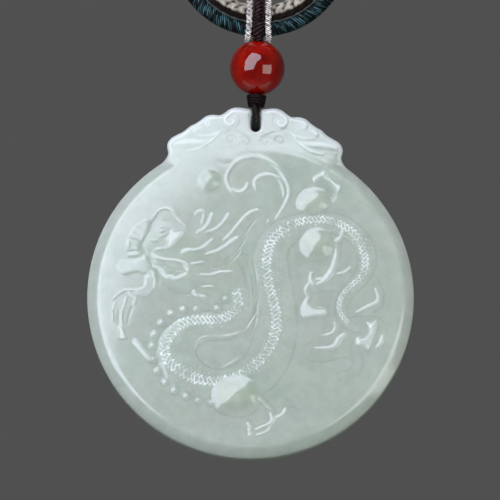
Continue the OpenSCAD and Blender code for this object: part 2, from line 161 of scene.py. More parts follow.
# The camera stands back from its aim along a way tipped by the elevation, and its level
# right and up ways turn about that by the roll. Lens = sensor * distance / width seen.
def addCamera():
    e, r = np.radians(view["elevation"]), np.radians(view["roll"])
    back = np.array([0, -np.cos(e), np.sin(e)])
    up0 = np.array([0, np.sin(e), np.cos(e)])
    right0 = np.array([1, 0, 0])
    up = up0 * np.cos(r) - right0 * np.sin(r)
    right = right0 * np.cos(r) + up0 * np.sin(r)
    data = bpy.data.cameras.new("camera")
    data.sensor_width = view["sensor"]
    data.lens = view["sensor"] * view["distance"] / view["width"]
    data.clip_start, data.clip_end = 0.01, 20
    cam = bpy.data.objects.new("camera", data)
    bpy.context.scene.collection.objects.link(cam)
    at = (np.array(view["aim"]) + back * view["distance"]) * mm
    m = np.eye(4)
    m[:3, 0], m[:3, 1], m[:3, 2], m[:3, 3] = right, up, back, at
    cam.matrix_world = Matrix(m.tolist())
    bpy.context.scene.camera = cam
    return right, up, back


camRight, camUp, camBack = addCamera()
print("camera placed")

# Sizes along the string in mm, and the places that follow from them
string = dict(loopDrop=250, loopWidth=132, neckD=2.5, braidD=2.8, cordsApart=0.35,
              neckGap=0.85, beadD=10, beadSeat=0.15, knotH=2.15, knotGap=0.5, bore=2,
              discR=29.2, crestRise=5.6, barDepth=1.4, barR=1.25, bailD=1.5, cordGap=0.1,
              columnD=2, strandD=1.2)
neckBottom = -string["loopDrop"]
cordPitch = string["neckD"] / 2 + string["cordsApart"] + string["braidD"] / 2
braidBottom = neckBottom + cordPitch
beadMid = neckBottom - string["neckD"] / 2 - string["neckGap"] - string["beadD"] / 2
crestTop = string["discR"] + string["crestRise"]
discZ = (beadMid - string["beadD"] / 2 - string["beadSeat"] - string["knotH"] - string["knotGap"]
         - crestTop)
barZ = discZ + crestTop - string["barDepth"]
knotBase = discZ + crestTop + string["knotGap"]
bailR = string["barR"] + string["cordGap"] + string["bailD"] / 2

# Right half of the neck cord's route: share of half the loop's width, share of its drop
neckRows = [
    [0, 1], [0.114, 0.992], [0.198, 0.97], [0.229, 0.94], [0.238, 0.904], [0.28, 0.84],
    [0.356, 0.776], [0.447, 0.712], [0.542, 0.648], [0.636, 0.584], [0.727, 0.52],
    [0.811, 0.456], [0.888, 0.392], [0.95, 0.328], [0.991, 0.264], [1, 0.196],
    [0.947, 0.132], [0.818, 0.074], [0.621, 0.028], [0.371, -0.004], [0.127, -0.018]
]


# The whole loop's points (x, 0, z), from the lowest one up the right side and down the
# left, moved inwards by some mm at right angles to the way
def loopRoute(inwards):
    half = np.array(neckRows) * [string["loopWidth"] / 2, -string["loopDrop"]]
    whole = np.vstack([half, half[:0:-1] * [-1, 1]])
    along = np.roll(whole, -1, 0) - np.roll(whole, 1, 0)
    along /= np.linalg.norm(along, axis=1)[:, None]
    whole = whole + inwards * np.stack([-along[:, 1], along[:, 0]], 1)
    return np.stack([whole[:, 0], 0 * whole[:, 0], whole[:, 1]], 1)


# The plaque's sizes in mm: its bevelled disc, the crest's sloping face and lower back, the
# angles from the top, in degrees, where crest and disc meet, the slot and the lips' rounding,
# and the rings of its mesh: on the front, over the rim (out, share of height), on the back
plaque = dict(
    edgeR=string["discR"], ridgeR=27.3, rollR=12, reliefR=27, edgeH=1.7, ridgeH=2.95, fieldH=3.2,
    backH=3.2, ridgeRound=0.28, backRound=0.2,
    crestH=2.93, crestSlope=0.12, crestRound=0.1, crestSink=1.3, crestEnds=(29, 37),
    crestBack=2.45, crestBackRound=0.3, crestBackSink=3, footEnds=(33.5, 36),
    slotR=3.2, slotW=1.9, lip=0.32, lipW=0.5, slotLip=0.3, slotLipW=0.4,
    rings=140, innerRings=92, innerR=22, rimOut=0.1,
    rimSteps=((0.7, 0.93), (1, 0.8), (1, 0), (1, -0.8), (0.7, -0.93)),
    backR=(29.2, 28.9, 28.3, 27.8, 27.4, 27, 26.4, 22))
barV = crestTop - string["barDepth"]
# The drawing sheet of the relief: its middle, mm a unit, turn in degrees and stretch
sheet = dict(middle=(250.5, 295.5), unit=26 / 144.5, turn=1.7, stretch=1.02)


# From the drawing sheet (x to the right, y down) to mm on the plaque (u right, v up):
# centred, turned by the sheet's turn and scaled by its unit
def onPlaque(x, y):
    x, y = x - sheet["middle"][0], sheet["middle"][1] - y
    c, s = np.cos(np.radians(sheet["turn"])), np.sin(np.radians(sheet["turn"]))
    k = sheet["unit"]
    return np.stack([k * (x * c - y * s), k * sheet["stretch"] * (x * s + y * c)], -1)


# A table's smooth curve in mm on the plaque, and its other columns, if it has any
def curve(rows, steps, closed=False):
    q = smoothRows(rows, steps, closed)
    return onPlaque(q[:, 0], q[:, 1]), q[:, 2:].T


# Points on the plaque at distance r from its middle and angle a from its top
def polar(r, a):
    return np.stack([r * np.sin(a), r * np.cos(a)], 1)


# Right half of the crest's outline on the sheet
crestOutline = [
    [257, 108.9], [262.2, 108.2], [270.6, 107], [277.5, 107.2], [282.8, 109.5], [287.4, 113.2],
    [292, 115.8], [299.7, 115.8], [305.8, 117.8], [311.2, 122.3], [316.5, 126.2],
    [321.1, 128.9], [327.2, 134.6], [333.3, 138.2], [339, 142], [342.3, 147], [342.5, 151.6],
    [341.2, 156.2], [342, 160.8], [346, 166.6], [352, 171.4]
]


# Distance of the outline from the plaque's middle at an angle from the top: the round
# edge, or the crest's curve where that lies further out
def outlineTable():
    p = curve(crestOutline, 8)[0]
    angle, far = np.arctan2(*p.T), np.hypot(*p.T)
    angle = np.maximum.accumulate(np.maximum(angle, 0))
    fade = ease(*np.radians(plaque["footEnds"]), angle)
    return angle, far * (1 - fade) + plaque["edgeR"] * fade


outlineAngle, outlineFar = outlineTable()


# The same at any angles, read off the table
def outline(angle):
    return np.interp(np.abs(angle), outlineAngle, outlineFar, right=plaque["edgeR"])


# From points p to each part of a chain: the distance to its nearest place, that place's
# share of the part, the part itself and the way from the place to p
def nearestOn(p, chain):
    a, ab = chain[:-1], np.diff(chain, axis=0)
    t = ((p[:, None] - a) * ab).sum(2) / (ab ** 2).sum(1)
    t = np.clip(t, 0, 1)
    away = p[:, None] - (a + t[..., None] * ab)
    return np.hypot(away[..., 0], away[..., 1]), t, ab, away


# Height of one raised line at points p (mm), put into top where it is higher: the section
# h (1 - (d/w)^2) at distance d from a curve with half width w and height h
def raisedLine(p, rows, share, top):
    chain, (half, high) = curve(rows, 5)
    half, high = half * sheet["unit"], high * share
    near = np.all((p > chain.min(0) - half.max()) & (p < chain.max(0) + half.max()), axis=1)
    if not near.any():
        return
    d, t, _, _ = nearestOn(p[near], chain)
    w = half[:-1] + t * np.diff(half)
    h = high[:-1] + t * np.diff(high)
    top[near] = np.maximum(top[near], (h * np.clip(1 - (d / w) ** 2, 0, 1)).max(1))


# Height of one dome: h (1 - rho^2)^1.5, rho the distance from its middle as a share of its
# two radii along its own turned axes
def dome(p, row, top):
    x, y, rx, ry, turn, h = row
    a, k = np.radians(turn), sheet["unit"]
    du, dv = (p - onPlaque(x, y)).T
    far = np.hypot((du * np.cos(a) + dv * np.sin(a)) / (rx * k),
                   (dv * np.cos(a) - du * np.sin(a)) / (ry * k))
    top[:] = np.maximum(top, h * np.clip(1 - far ** 2, 0, 1) ** 1.5)


# Height of a flat-topped form inside a closed outline: its edge rises as a quarter round
# over a width, 1 - (1 - d/edge)^2 at distance d inside the outline, and its top, h at the
# lowest, leans so that it falls away to the upper left. Its inside is painted paler by its
# whiteness, a painted highlight.
def plate(p, h, edge, lean, paintedWhite, rows, top, pale):
    chain = curve(rows, 5, True)[0]
    near = np.all((p > chain.min(0)) & (p < chain.max(0)), axis=1)
    s = p[near]
    ring = np.vstack([chain, chain[:1]])
    d = nearestOn(s, ring)[0].min(1)
    a, b = ring[:-1], ring[1:]
    crosses = (a[:, 1] > s[:, 1:2]) != (b[:, 1] > s[:, 1:2])
    at = a[:, 0] + (s[:, 1:2] - a[:, 1]) * (b[:, 0] - a[:, 0]) / (b[:, 1] - a[:, 1] + 1e-12)
    inside = (crosses & (s[:, 0:1] < at)).sum(1) % 2 == 1
    high = h + lean * (s[:, 0] - s[:, 1] - (chain[:, 0] - chain[:, 1]).min())
    top[near] = np.maximum(top[near], inside * high * (1 - (1 - np.clip(d / edge, 0, 1)) ** 2))
    pale[near] = np.maximum(pale[near], inside * paintedWhite * ease(0, 0.25, d))


# The body's middle line: x, y, half width on the sheet, height in mm
bodyRows = [
    [243, 266, 12, 0.28], [243, 282, 13, 0.33], [243, 298, 14.5, 0.49], [237, 312, 16, 0.54],
    [226, 324, 16, 0.58], [207, 326, 15, 0.6], [189, 332, 17, 0.62], [177, 346, 19.5, 0.62],
    [178, 361, 19.5, 0.62], [190, 375, 18, 0.62], [206, 383, 17, 0.62], [225, 385, 17, 0.6],
    [244, 381, 19, 0.6], [260, 370, 21, 0.62], [270, 353, 21.5, 0.62], [275, 335, 21, 0.62],
    [276, 316, 20.5, 0.62], [274, 298, 20, 0.62], [271, 280, 19, 0.62], [269.5, 263, 18, 0.6],
    [272, 248, 16.5, 0.56], [281, 236, 14.5, 0.53], [294, 228, 12.5, 0.49], [310, 223, 11, 0.46],
    [327, 223, 10.5, 0.43], [344, 227.5, 10.5, 0.41], [357.5, 238, 10, 0.4],
    [365.5, 252, 9.5, 0.38], [366, 266, 9, 0.36], [360, 279, 8, 0.34], [350, 289, 7, 0.32],
    [342, 301, 6.5, 0.3], [341, 313, 6, 0.29], [346.5, 323, 5.5, 0.27], [356, 329, 4, 0.25]
]
# The zigzag band's middle line along the body, on the flank where the highlight falls: x, y
# and half width on the sheet
bandRows = [
    [229, 279, 4], [234, 287, 4.6], [237, 296, 4.8], [238.5, 306, 4.8], [231, 314.5, 4.6],
    [221, 319, 4.6], [210, 320, 4.6], [197, 320, 4.8], [187, 322, 5.2], [178, 327, 5.6],
    [170.5, 335, 5.6], [165.5, 345, 5.4], [166, 355, 5.2], [172, 364, 5.4], [182, 370.5, 6],
    [193, 376, 6], [205, 380, 5], [222, 380, 5], [238, 375.5, 5], [248, 368.5, 5.2],
    [258, 361, 5.4], [266, 351, 5.4], [272, 341, 5.4], [275.5, 328, 5.4], [275.6, 316, 5.4],
    [273.6, 303, 5.4], [270, 290, 5.2], [267, 277, 5.2], [266.2, 265.7, 5], [267, 257, 5],
    [269, 247.5, 5], [273, 239.7, 4.8], [278.4, 233.6, 4.6], [285.3, 228.4, 4.4],
    [293, 224, 4.2], [301.8, 221.5, 4], [310.5, 220, 4], [319, 219.7, 4], [327, 220.6, 4],
    [334.7, 222.3, 4], [342.5, 225.8, 4], [350.3, 231, 4.2], [356.4, 237, 4.2],
    [360.7, 244, 4.2], [363.3, 252.7, 4], [364.6, 261.3, 4], [363.8, 270, 3.8],
    [360.7, 277, 3.2], [352, 284.7, 2.6], [343.4, 293.4, 2.6], [339.5, 301, 2.6],
    [338.6, 309, 2.6], [341.7, 316, 2.4], [346.9, 322, 2]
]


# A line's places at points p: the way along it, the distance beside it (left of the way is
# positive) and its half width there
def linePlaces(p, rows, steps):
    chain, (half,) = curve(rows, steps)
    half = half * sheet["unit"]
    step = np.hypot(*np.diff(chain, axis=0).T)
    start = np.concatenate([[0], np.cumsum(step)[:-1]])
    way, beside, wide = (np.zeros(len(p)) for _ in range(3))
    beside += 99                                # out of reach: far beside the line
    near = np.all((p > chain.min(0) - 3) & (p < chain.max(0) + 3), axis=1)
    for part in np.array_split(np.flatnonzero(near), 8):
        d, t, ab, away = nearestOn(p[part], chain)
        best, k = d.argmin(1), np.arange(len(part))
        side = np.sign(ab[best, 0] * away[k, best, 1] - ab[best, 1] * away[k, best, 0])
        way[part] = start[best] + t[k, best] * step[best]
        beside[part] = side * d[k, best]
        wide[part] = (half[:-1] + t * np.diff(half))[k, best]
    return way, beside, wide


# The body: h (1 - x^n) with x = d/w from its middle line, n from 2 on the sides that face
# the upper left to 14 on the others, so that its edge shows on these. Returns the marks of
# its top, away from its sides, and of its outline as well, which is later painted darker as
# painted shade.
def bodyHeight(p):
    chain, (half, high) = curve(bodyRows, 6)
    half = half * sheet["unit"]
    out, on, paintedEdge = (np.zeros(len(p)) for _ in range(3))
    near = np.all((p > chain.min(0) - 4.5) & (p < chain.max(0) + 4.5), axis=1)
    for part in np.array_split(np.flatnonzero(near), 8):
        d, t, _, away = nearestOn(p[part], chain)
        w = half[:-1] + t * np.diff(half)
        h = high[:-1] + t * np.diff(high)
        faces = (away[..., 1] - away[..., 0]) / np.maximum(d, 0.01)
        power = 2 + 12 * ease(0.3, -0.6, faces)
        value = carve["body"] * h * (1 - np.minimum(d / w, 1) ** power)
        best, k = np.where(d < w, value, -(d - w)).argmax(1), np.arange(len(part))
        share = d[k, best] / w[k, best]
        out[part] = value[k, best]
        on[part] = np.where(share < 1, ease(0.98, 0.72, share), 0)
        paintedEdge[part] = ease(0.3, 0.05, np.abs((w - d).max(1)))
    return out, on, paintedEdge


# Forms that carry others: x, y, half width on the sheet, height in mm
massLines = [
    [[146, 236, 8, 0.35], [158, 236, 14, 0.6], [176, 243, 19, 0.75], [198, 254, 21, 0.8],
     [220, 262, 20, 0.8], [240, 264, 15, 0.7]],
    [[156, 266, 6, 0.3], [170, 272, 11, 0.5], [188, 272, 15, 0.6], [210, 277, 16, 0.65],
     [232, 282, 15, 0.7]],
    [[164, 284, 6, 0.25], [178, 286, 8, 0.35], [196, 287, 8, 0.4], [214, 290, 8, 0.4]],
]
# Domes that carry others: x, y, its two radii, turn, height in mm
massDomes = [
    [209, 180, 12, 12, 0, 0.5],         # pearl
    [313, 202, 18, 14, 20, 0.52],       # upper haunch
    [317, 245, 18, 18, 0, 0.7],         # rear haunch inside the arch
    [237, 394, 28, 21, 4, 0.8],         # lower haunch
]
# Raised lines: x, y, half width on the sheet, height in mm
headLines = [
    [[158.3, 231.7, 1, 0.2], [159.6, 228.5, 1, 0.2], [162.8, 227.2, 1, 0.2],
     [166, 228.5, 1, 0.2], [167.3, 231.7, 1, 0.2], [166, 234.9, 1, 0.2], [162.8, 236.2, 1, 0.2],
     [159.6, 234.9, 1, 0.2], [158.3, 231.7, 1, 0.2]],
    [[152.6, 219.5, 1.2, 0.12], [157.4, 212, 1.5, 0.24], [163.6, 209, 1.6, 0.28],
     [169.7, 209.8, 1.6, 0.28], [174.3, 213, 1.6, 0.28], [178.9, 218.4, 1.6, 0.26],
     [186.5, 225.6, 1.5, 0.2]],
    [[144.6, 220, 1.6, 0.3], [136, 226, 1.3, 0.28], [132.2, 231.4, 1.3, 0.28],
     [129.1, 236.5, 1.5, 0.3]],
    [[147.9, 229.5, 1.1, 0.25], [143.7, 235.2, 1.8, 0.4], [141.4, 240, 2.2, 0.4]],
    [[150.6, 240.2, 1.4, 0.2], [155.9, 241.7, 1.4, 0.25]],
    [[157.4, 249.9, 1.5, 0.25], [162.8, 249.6, 1.7, 0.3]],
    [[152.8, 254.6, 1.4, 0.2], [157.4, 258.3, 1.7, 0.34], [163.5, 260, 1.6, 0.34],
     [172, 261, 1.5, 0.25], [182.7, 263.2, 2, 0.35], [188.6, 268.2, 2.6, 0.42],
     [189.4, 272.4, 1.2, 0.2]],
    [[144.8, 257, 1.3, 0.3], [148.3, 263.5, 1.5, 0.45], [152.3, 270.6, 1.3, 0.4]],
    [[154.4, 267.3, 1.4, 0.25], [159, 268.9, 1.6, 0.3], [163.6, 272.7, 1.8, 0.36],
     [168.9, 277.3, 2, 0.4], [175, 279.6, 2.1, 0.42], [181.2, 277.6, 2.2, 0.42],
     [186.5, 275.2, 2.6, 0.4]],
]
maneLines = [
    [[195.3, 215, 1.2, 0.15], [199.1, 212, 1.4, 0.22], [203.2, 213.3, 1.4, 0.24],
     [204.5, 217, 1.3, 0.2], [202.2, 223.5, 1.2, 0.14]],
    [[211.8, 215.5, 2, 0.4], [209.7, 222.2, 1.9, 0.42], [204.6, 229.2, 1.6, 0.34],
     [198, 232.6, 1.3, 0.2]],
    [[228.2, 216, 1.9, 0.38], [225.1, 221.2, 1.6, 0.32], [218.3, 228, 1.4, 0.28],
     [212.1, 231.9, 1.4, 0.3], [206, 232.7, 1.3, 0.24]],
    [[258, 211.3, 1.2, 0.25], [251.9, 212.7, 1.5, 0.34], [245.8, 216.6, 1.6, 0.36],
     [241.2, 221.9, 1.6, 0.36], [236.6, 227.3, 1.6, 0.34], [231.5, 233.6, 1.5, 0.28],
     [224, 241, 1.3, 0.2]],
    [[236.8, 239.2, 2, 0.42], [232.8, 241.9, 2.1, 0.46], [226.4, 246.3, 1.9, 0.42],
     [217.1, 252, 1.5, 0.34], [207.2, 254.8, 1.3, 0.26]],
    [[212.5, 240.9, 1.2, 0.25], [206.4, 245.9, 1.6, 0.36], [200.3, 249.7, 1.7, 0.38],
     [193.4, 251, 1.7, 0.38], [188, 250.9, 2.2, 0.42], [184.8, 252.2, 2.6, 0.42]],
    [[192.6, 264.4, 1.3, 0.26], [202.6, 263.1, 1.4, 0.28]],
    [[201.8, 275.2, 1.2, 0.2], [211, 275.7, 1.5, 0.3], [220.2, 273, 1.6, 0.32],
     [231.8, 272.9, 1.6, 0.28]],
    [[204.1, 287.2, 1.2, 0.22], [212.5, 287.2, 1.3, 0.24]],
    [[193.8, 291.8, 1.7, 0.34], [198.6, 296, 2.1, 0.4], [204.8, 298, 1.7, 0.34]],
]
whiskerLines = [
    [[247.7, 185.2, 1.3, 0.26], [245, 189.8, 1.5, 0.34], [240.4, 192.6, 1.6, 0.38],
     [234.3, 191.7, 1.6, 0.38], [229.7, 187.5, 1.6, 0.36], [226.7, 180.6, 1.6, 0.36],
     [227.4, 173.7, 1.6, 0.36], [231.3, 167.6, 1.7, 0.38], [235.1, 162.6, 2.1, 0.42],
     [241.2, 159.2, 2.1, 0.42], [248.9, 157.4, 2.1, 0.42], [256.5, 157.3, 2.1, 0.42],
     [264.2, 158.9, 2.1, 0.42], [271.8, 163.4, 2.1, 0.42], [278.7, 169.1, 2, 0.4],
     [284, 176.8, 2, 0.4], [287.9, 184.4, 2, 0.38], [289, 192.8, 2, 0.36],
     [287.1, 200.5, 2, 0.34], [283.3, 208.1, 1.6, 0.3], [279.5, 214.3, 1.3, 0.24],
     [276, 218.9, 1.1, 0.18]],
    [[256.1, 189.4, 1.3, 0.26], [255, 182.1, 1.5, 0.34], [258.8, 177.5, 1.6, 0.36],
     [264.9, 175.6, 1.6, 0.34], [271.8, 176, 1.6, 0.28], [279.5, 180.2, 1.8, 0.24],
     [283.4, 188.3, 1.8, 0.22], [284.6, 196, 1.6, 0.2]],
    [[268.1, 222.4, 1.3, 0.3], [268.7, 221.4, 1.3, 0.3]],
]
limbLines = [
    [[154, 273, 1.2, 0.5], [156, 282, 1.3, 0.55], [154.6, 288.6, 1.2, 0.5]],
    [[146.3, 277.5, 1.1, 0.5], [147, 283, 1.2, 0.55], [144.4, 287.8, 1.2, 0.55],
     [138.3, 290.3, 1.2, 0.5], [125.5, 290.5, 1.2, 0.42], [119.1, 294.2, 1.2, 0.36],
     [113.9, 298.6, 1.2, 0.3]],
    [[128.6, 292.4, 1.3, 0.5], [133.2, 295.4, 1.3, 0.5], [136.5, 297.4, 1.2, 0.45]],
    [[115, 303.4, 1.3, 0.5], [113.1, 310, 1.2, 0.5]],
    [[113.3, 313.6, 1.1, 0.45], [113.6, 320.4, 1.1, 0.4]],
    [[126.3, 299.6, 1.2, 0.5], [124.2, 307, 1.2, 0.5]],
    [[137, 298.4, 1.1, 0.45], [134.5, 304.2, 1.1, 0.4]],
    [[122.8, 311.6, 1.1, 0.3], [122.2, 317.6, 1.2, 0.36], [123.2, 325, 1.2, 0.3]],
    [[136.4, 341.6, 3, 0.35], [141.5, 346.5, 3.4, 0.45], [147, 353, 3.4, 0.4],
     [152, 358, 3, 0.3]],
    [[257.6, 397.3, 2, 0.6], [264.8, 403.4, 1.5, 0.5], [270.1, 408.8, 1.1, 0.4]],
    [[270.5, 411.9, 1.1, 0.4], [271.8, 415, 1.6, 0.5], [273, 417.4, 2.4, 0.5],
     [271.5, 420.6, 2.2, 0.5], [267, 423.4, 1.4, 0.45], [256, 428.4, 1.1, 0.3]],
    [[273.6, 417.2, 1.8, 0.5], [279.6, 415, 1.3, 0.45], [283.4, 411.5, 1.3, 0.42],
     [285.5, 408.1, 1.4, 0.4]],
    [[269.7, 424, 1.1, 0.36], [268.5, 428.4, 1.1, 0.36], [263.2, 431.6, 1.1, 0.36],
     [257.6, 433.4, 1.1, 0.36]],
    [[248.4, 422.6, 1.3, 0.42], [250.2, 425.2, 1.2, 0.42], [248.8, 428.2, 1.3, 0.42],
     [250.7, 431, 1.2, 0.42], [249.6, 433.3, 1.5, 0.42], [252.8, 432.8, 1.2, 0.35]],
    [[266, 421, 1.2, 0.12], [252.6, 423.6, 1.2, 0.12]],
    [[342.6, 232.3, 1.6, 0.4], [340.4, 238.1, 1.6, 0.42], [335.5, 242, 2, 0.42]],
    [[335.9, 246.4, 1.8, 0.42], [336.1, 254.6, 2, 0.48], [334.1, 263.6, 2.2, 0.5],
     [331.6, 271.2, 3, 0.5], [327.4, 278, 3.4, 0.5], [322, 282.4, 2.4, 0.46],
     [317.6, 284.7, 1.3, 0.3]],
    [[311, 274.2, 1.6, 0.4], [310.6, 278.9, 1.9, 0.42], [313.2, 284.8, 1.9, 0.4]],
    [[317.4, 279.8, 1.6, 0.35], [321, 280, 1.4, 0.3]],
    [[337.6, 274.6, 1.2, 0.25], [344.2, 273, 1.5, 0.34], [349.4, 268.6, 1.6, 0.36]],
    [[320, 178.6, 1.2, 0.16], [328, 180.4, 1.6, 0.2], [334, 186, 1.4, 0.18]],
    [[298.5, 207.2, 1.4, 0.2], [302.4, 205.4, 1.6, 0.26]],
]
cloudLines = [
    [[309.5, 283.4, 1.1, 0.3], [305.8, 289, 1.3, 0.36], [306.6, 293.6, 1.2, 0.3],
     [309, 297.6, 1.2, 0.3]],
    [[334.6, 322.6, 1.2, 0.3], [335.2, 327.6, 1.3, 0.36], [333.4, 331.6, 1.3, 0.36],
     [328.3, 334.6, 1.2, 0.26], [320, 335.4, 1, 0.12]],
    [[344.3, 334.4, 1.6, 0.36], [339.9, 337.4, 2.4, 0.5], [337, 343, 2.8, 0.52],
     [333, 346.8, 2.6, 0.48], [326.4, 348.2, 2, 0.4], [315.4, 348.2, 1.2, 0.26]],
    [[375.5, 289.6, 1.4, 0.3], [377.9, 296.4, 1.8, 0.4], [375.5, 302.8, 2, 0.4],
     [366.5, 307.4, 2, 0.38], [357, 312.4, 1.5, 0.3]],
]
seamLines = [
    [[255.5, 315.4, 0.9, 0.2], [251, 323, 1, 0.28], [245.6, 329.6, 1, 0.3], [234, 334.8, 1, 0.28],
     [222, 337, 1, 0.28], [210, 336.4, 0.9, 0.2], [201, 338.6, 0.9, 0.16], [196, 346, 0.9, 0.16],
     [198, 355, 0.9, 0.16], [207, 364, 0.9, 0.16], [219, 368.4, 0.9, 0.16],
     [229.5, 364, 0.9, 0.2], [238.5, 358.8, 0.9, 0.2]],
]
# Flat-topped forms: height and edge in mm, lean, whiteness (a painted highlight), and the
# closed outline on the sheet
plates = [
    # lobed tongue, and the front leg's upper part behind it
    (0.14, 0.3, 0.0, 0.1, [[145, 257.6], [136, 259.6], [127.4, 259.6], [121.6, 259.3],
                           [117.4, 262.6], [116.8, 267.6], [119, 271.6], [123.4, 274.8],
                           [128, 274.6], [133.4, 272.8], [139, 272.6], [144.6, 274.2],
                           [150, 270.4], [148.6, 263]]),
    (0.08, 0.3, 0.0, 0.16, [[147, 271], [147.3, 281], [145.7, 285.3], [140.7, 289.2],
                            [133, 290.6], [136, 294], [143, 297], [147.3, 296.9],
                            [152.2, 293], [155, 286.4], [155.3, 279.8], [154, 272]]),
    # the snout's ridged band, its lowest plate and the lip
    (0.1, 0.25, 0.0, 0.0, [[146, 219.5], [139, 223.5], [134, 228.5], [129.5, 235], [127, 241],
                            [126.2, 247], [127, 251.4], [139.4, 250.8], [139.4, 245.6],
                            [141.4, 239.6], [144.6, 234.6], [148.8, 227.6], [149.6, 222.4]]),
    (0.1, 0.2, 0.05, 0.05, [[128, 252.4], [128.2, 257], [139.8, 256], [139.2, 251.8]]),
    (0.12, 0.25, 0.05, 0.05, [[126.8, 241], [130.4, 241.4], [130.8, 247.2], [126.4, 247.2]]),
    # brow
    (0.12, 0.3, 0.07, 0.16, [[170.3, 231.8], [172.6, 228.8], [174.6, 231.6], [182.8, 230.6],
                             [182.8, 235.4], [177, 241.4], [170, 248.8], [166.2, 248.8],
                             [168.2, 241], [165, 240.6], [168.6, 236.6]]),
    # cloud beside the leg
    (0.1, 0.35, 0.05, 0.04, [[308.4, 297.6], [305, 299.6], [301.7, 306.8], [301.5, 313.3],
                             [305.6, 318.6], [310.8, 318.2], [326.4, 316.2], [325.8, 309.2],
                             [314.7, 308.1], [309.8, 304.4], [308.4, 300.6]]),
    # flames at the tail's end
    (0.12, 0.35, 0.05, 0.1, [[364.6, 320.8], [370, 322.6], [376.2, 321.4], [375.4, 329],
                             [372.6, 338.2], [368.2, 350.8], [362.8, 346], [356.6, 344.6],
                             [356.6, 337.6], [362.8, 338], [368, 332.8], [369, 327.4]]),
    (0.08, 0.4, 0.03, 0.12, [[381.9, 333.2], [383, 340.6], [379.7, 345.8], [374.3, 348.6],
                             [378.4, 340.6]]),
    # fin below the front paw
    (0.12, 0.25, 0.05, 0.05, [[119.4, 326.8], [123.7, 328], [125.6, 333], [127.3, 338.9],
                             [119.2, 338.9], [119.8, 333]]),
    # upper paw
    (0.12, 0.25, 0.05, 0.12, [[313, 178.6], [316.6, 176], [319, 175.4], [323.7, 172.2],
                             [327, 175], [331, 179], [336, 183.5], [340, 185], [341.5, 188.5],
                             [340.5, 191.5], [338.3, 193], [337.5, 197], [335.2, 201.8],
                             [332.3, 204.2], [330.7, 200.8], [333.4, 197.5], [335.4, 193],
                             [334.6, 189], [331.6, 184.4], [327, 180.2], [323.2, 177.9],
                             [319.6, 178.8], [316.6, 181.2], [314.6, 181.8]]),
]
# Fine contours cut round the forms: x and y on the sheet
contours = [
    # mouth, mane and whisker's root
    [[157, 271.2], [166, 275], [173.5, 272.8]],
    [[163, 265], [172, 269], [181, 271]],
    [[262, 216], [254, 221], [248, 230], [241, 239]],
    [[246, 238], [236, 252], [224, 262]],
    [[240, 252], [228, 264], [213, 268]],
    [[153, 222], [151, 228], [149, 233], [144, 240], [143, 247], [146, 254]],
    [[164, 284], [172, 291], [186, 294.6], [194, 289.6]],
    [[218, 161], [222.8, 163.8], [229, 163], [233.6, 161.5]],
    # hair along the neck
    [[247, 262], [250.6, 275], [253, 290], [254, 306], [252.6, 320]],
    [[242, 268], [246.4, 280], [249.2, 293], [250, 306]],
    [[252, 262], [255, 272], [256.4, 283]], [[256.4, 302], [255.8, 316], [252.6, 331]],
    [[237, 262], [241.6, 271], [244.8, 282], [246.4, 294]],
    # legs
    [[133.4, 306], [130, 314], [128.6, 322]], [[119.2, 311], [119, 324]],
    [[341.2, 237.6], [341, 250], [339, 262]], [[341, 190.6], [343.4, 193.8]],
    [[286, 407.6], [289, 405.6], [293, 406], [298.6, 410]],
    [[258, 391], [266, 399], [272, 405.6], [275, 410.4]],
    # clouds and the tail's flames
    [[308.8, 303], [313.4, 294.7], [322.5, 292.5], [335, 291.8]],
    [[382.6, 289], [383.4, 297], [382.4, 303.6], [379.4, 309], [372, 313]],
    [[377.6, 318], [384.6, 325], [385, 333.4]],
    [[360.2, 352], [362, 360], [361, 368], [357, 374.6]],
    [[351, 342], [350.4, 352], [353.4, 362]],
    [[346.6, 330.6], [354, 332.3], [359.6, 330.6], [362.2, 326.6], [359.6, 322.8]],
    [[352, 317.2], [360, 316.4], [370, 316.6], [380.6, 318.4]],
    [[372.4, 271], [377, 279.6], [380.6, 287]],
    [[318.7, 335.5], [314, 337.4], [309.1, 342.9], [305.3, 345.7], [303, 351], [305, 357],
     [312.4, 361], [322, 362], [332, 360], [341, 357.6], [348, 358.6], [351.4, 364],
     [348, 369.6], [340, 371.6], [336.4, 375], [338.4, 380.4]],
    # round the lower haunch
    [[205, 398], [213, 407], [224, 413.6], [238, 416.4], [250, 413.6], [259, 407]],
]
# Cut lines: x, y, half width on the sheet, depth in mm
cutLines = [
    [[129.6, 238.6, 0.8, 0.16], [135, 240.6, 1, 0.2], [139.6, 242.2, 0.8, 0.14]],
    [[136.8, 226.4, 0.7, 0.1], [140.4, 229, 0.9, 0.14], [143, 232, 0.7, 0.1]],
    [[132.6, 232.4, 0.7, 0.1], [136.6, 234.6, 0.9, 0.14], [139.4, 237, 0.7, 0.1]],
]
# Eyeball: x, y, its two radii, turn, height in mm
eyeball = (162.8, 231.4, 2.6, 2.4, 20, 0.16)
# Pearls along the body's outer edge: x and y on the sheet
edgePearls = [
    [225.8, 299.4], [217.7, 308.6], [197, 309.7], [184, 309.7], [172.1, 313.5],
    [162.4, 322.6], [155.3, 333.8], [153.3, 345.5], [153.8, 358.8], [158.4, 370.4],
    [166, 381.4], [175.2, 389.6], [186.4, 395.4], [198.7, 399.4], [211, 401.6]
]
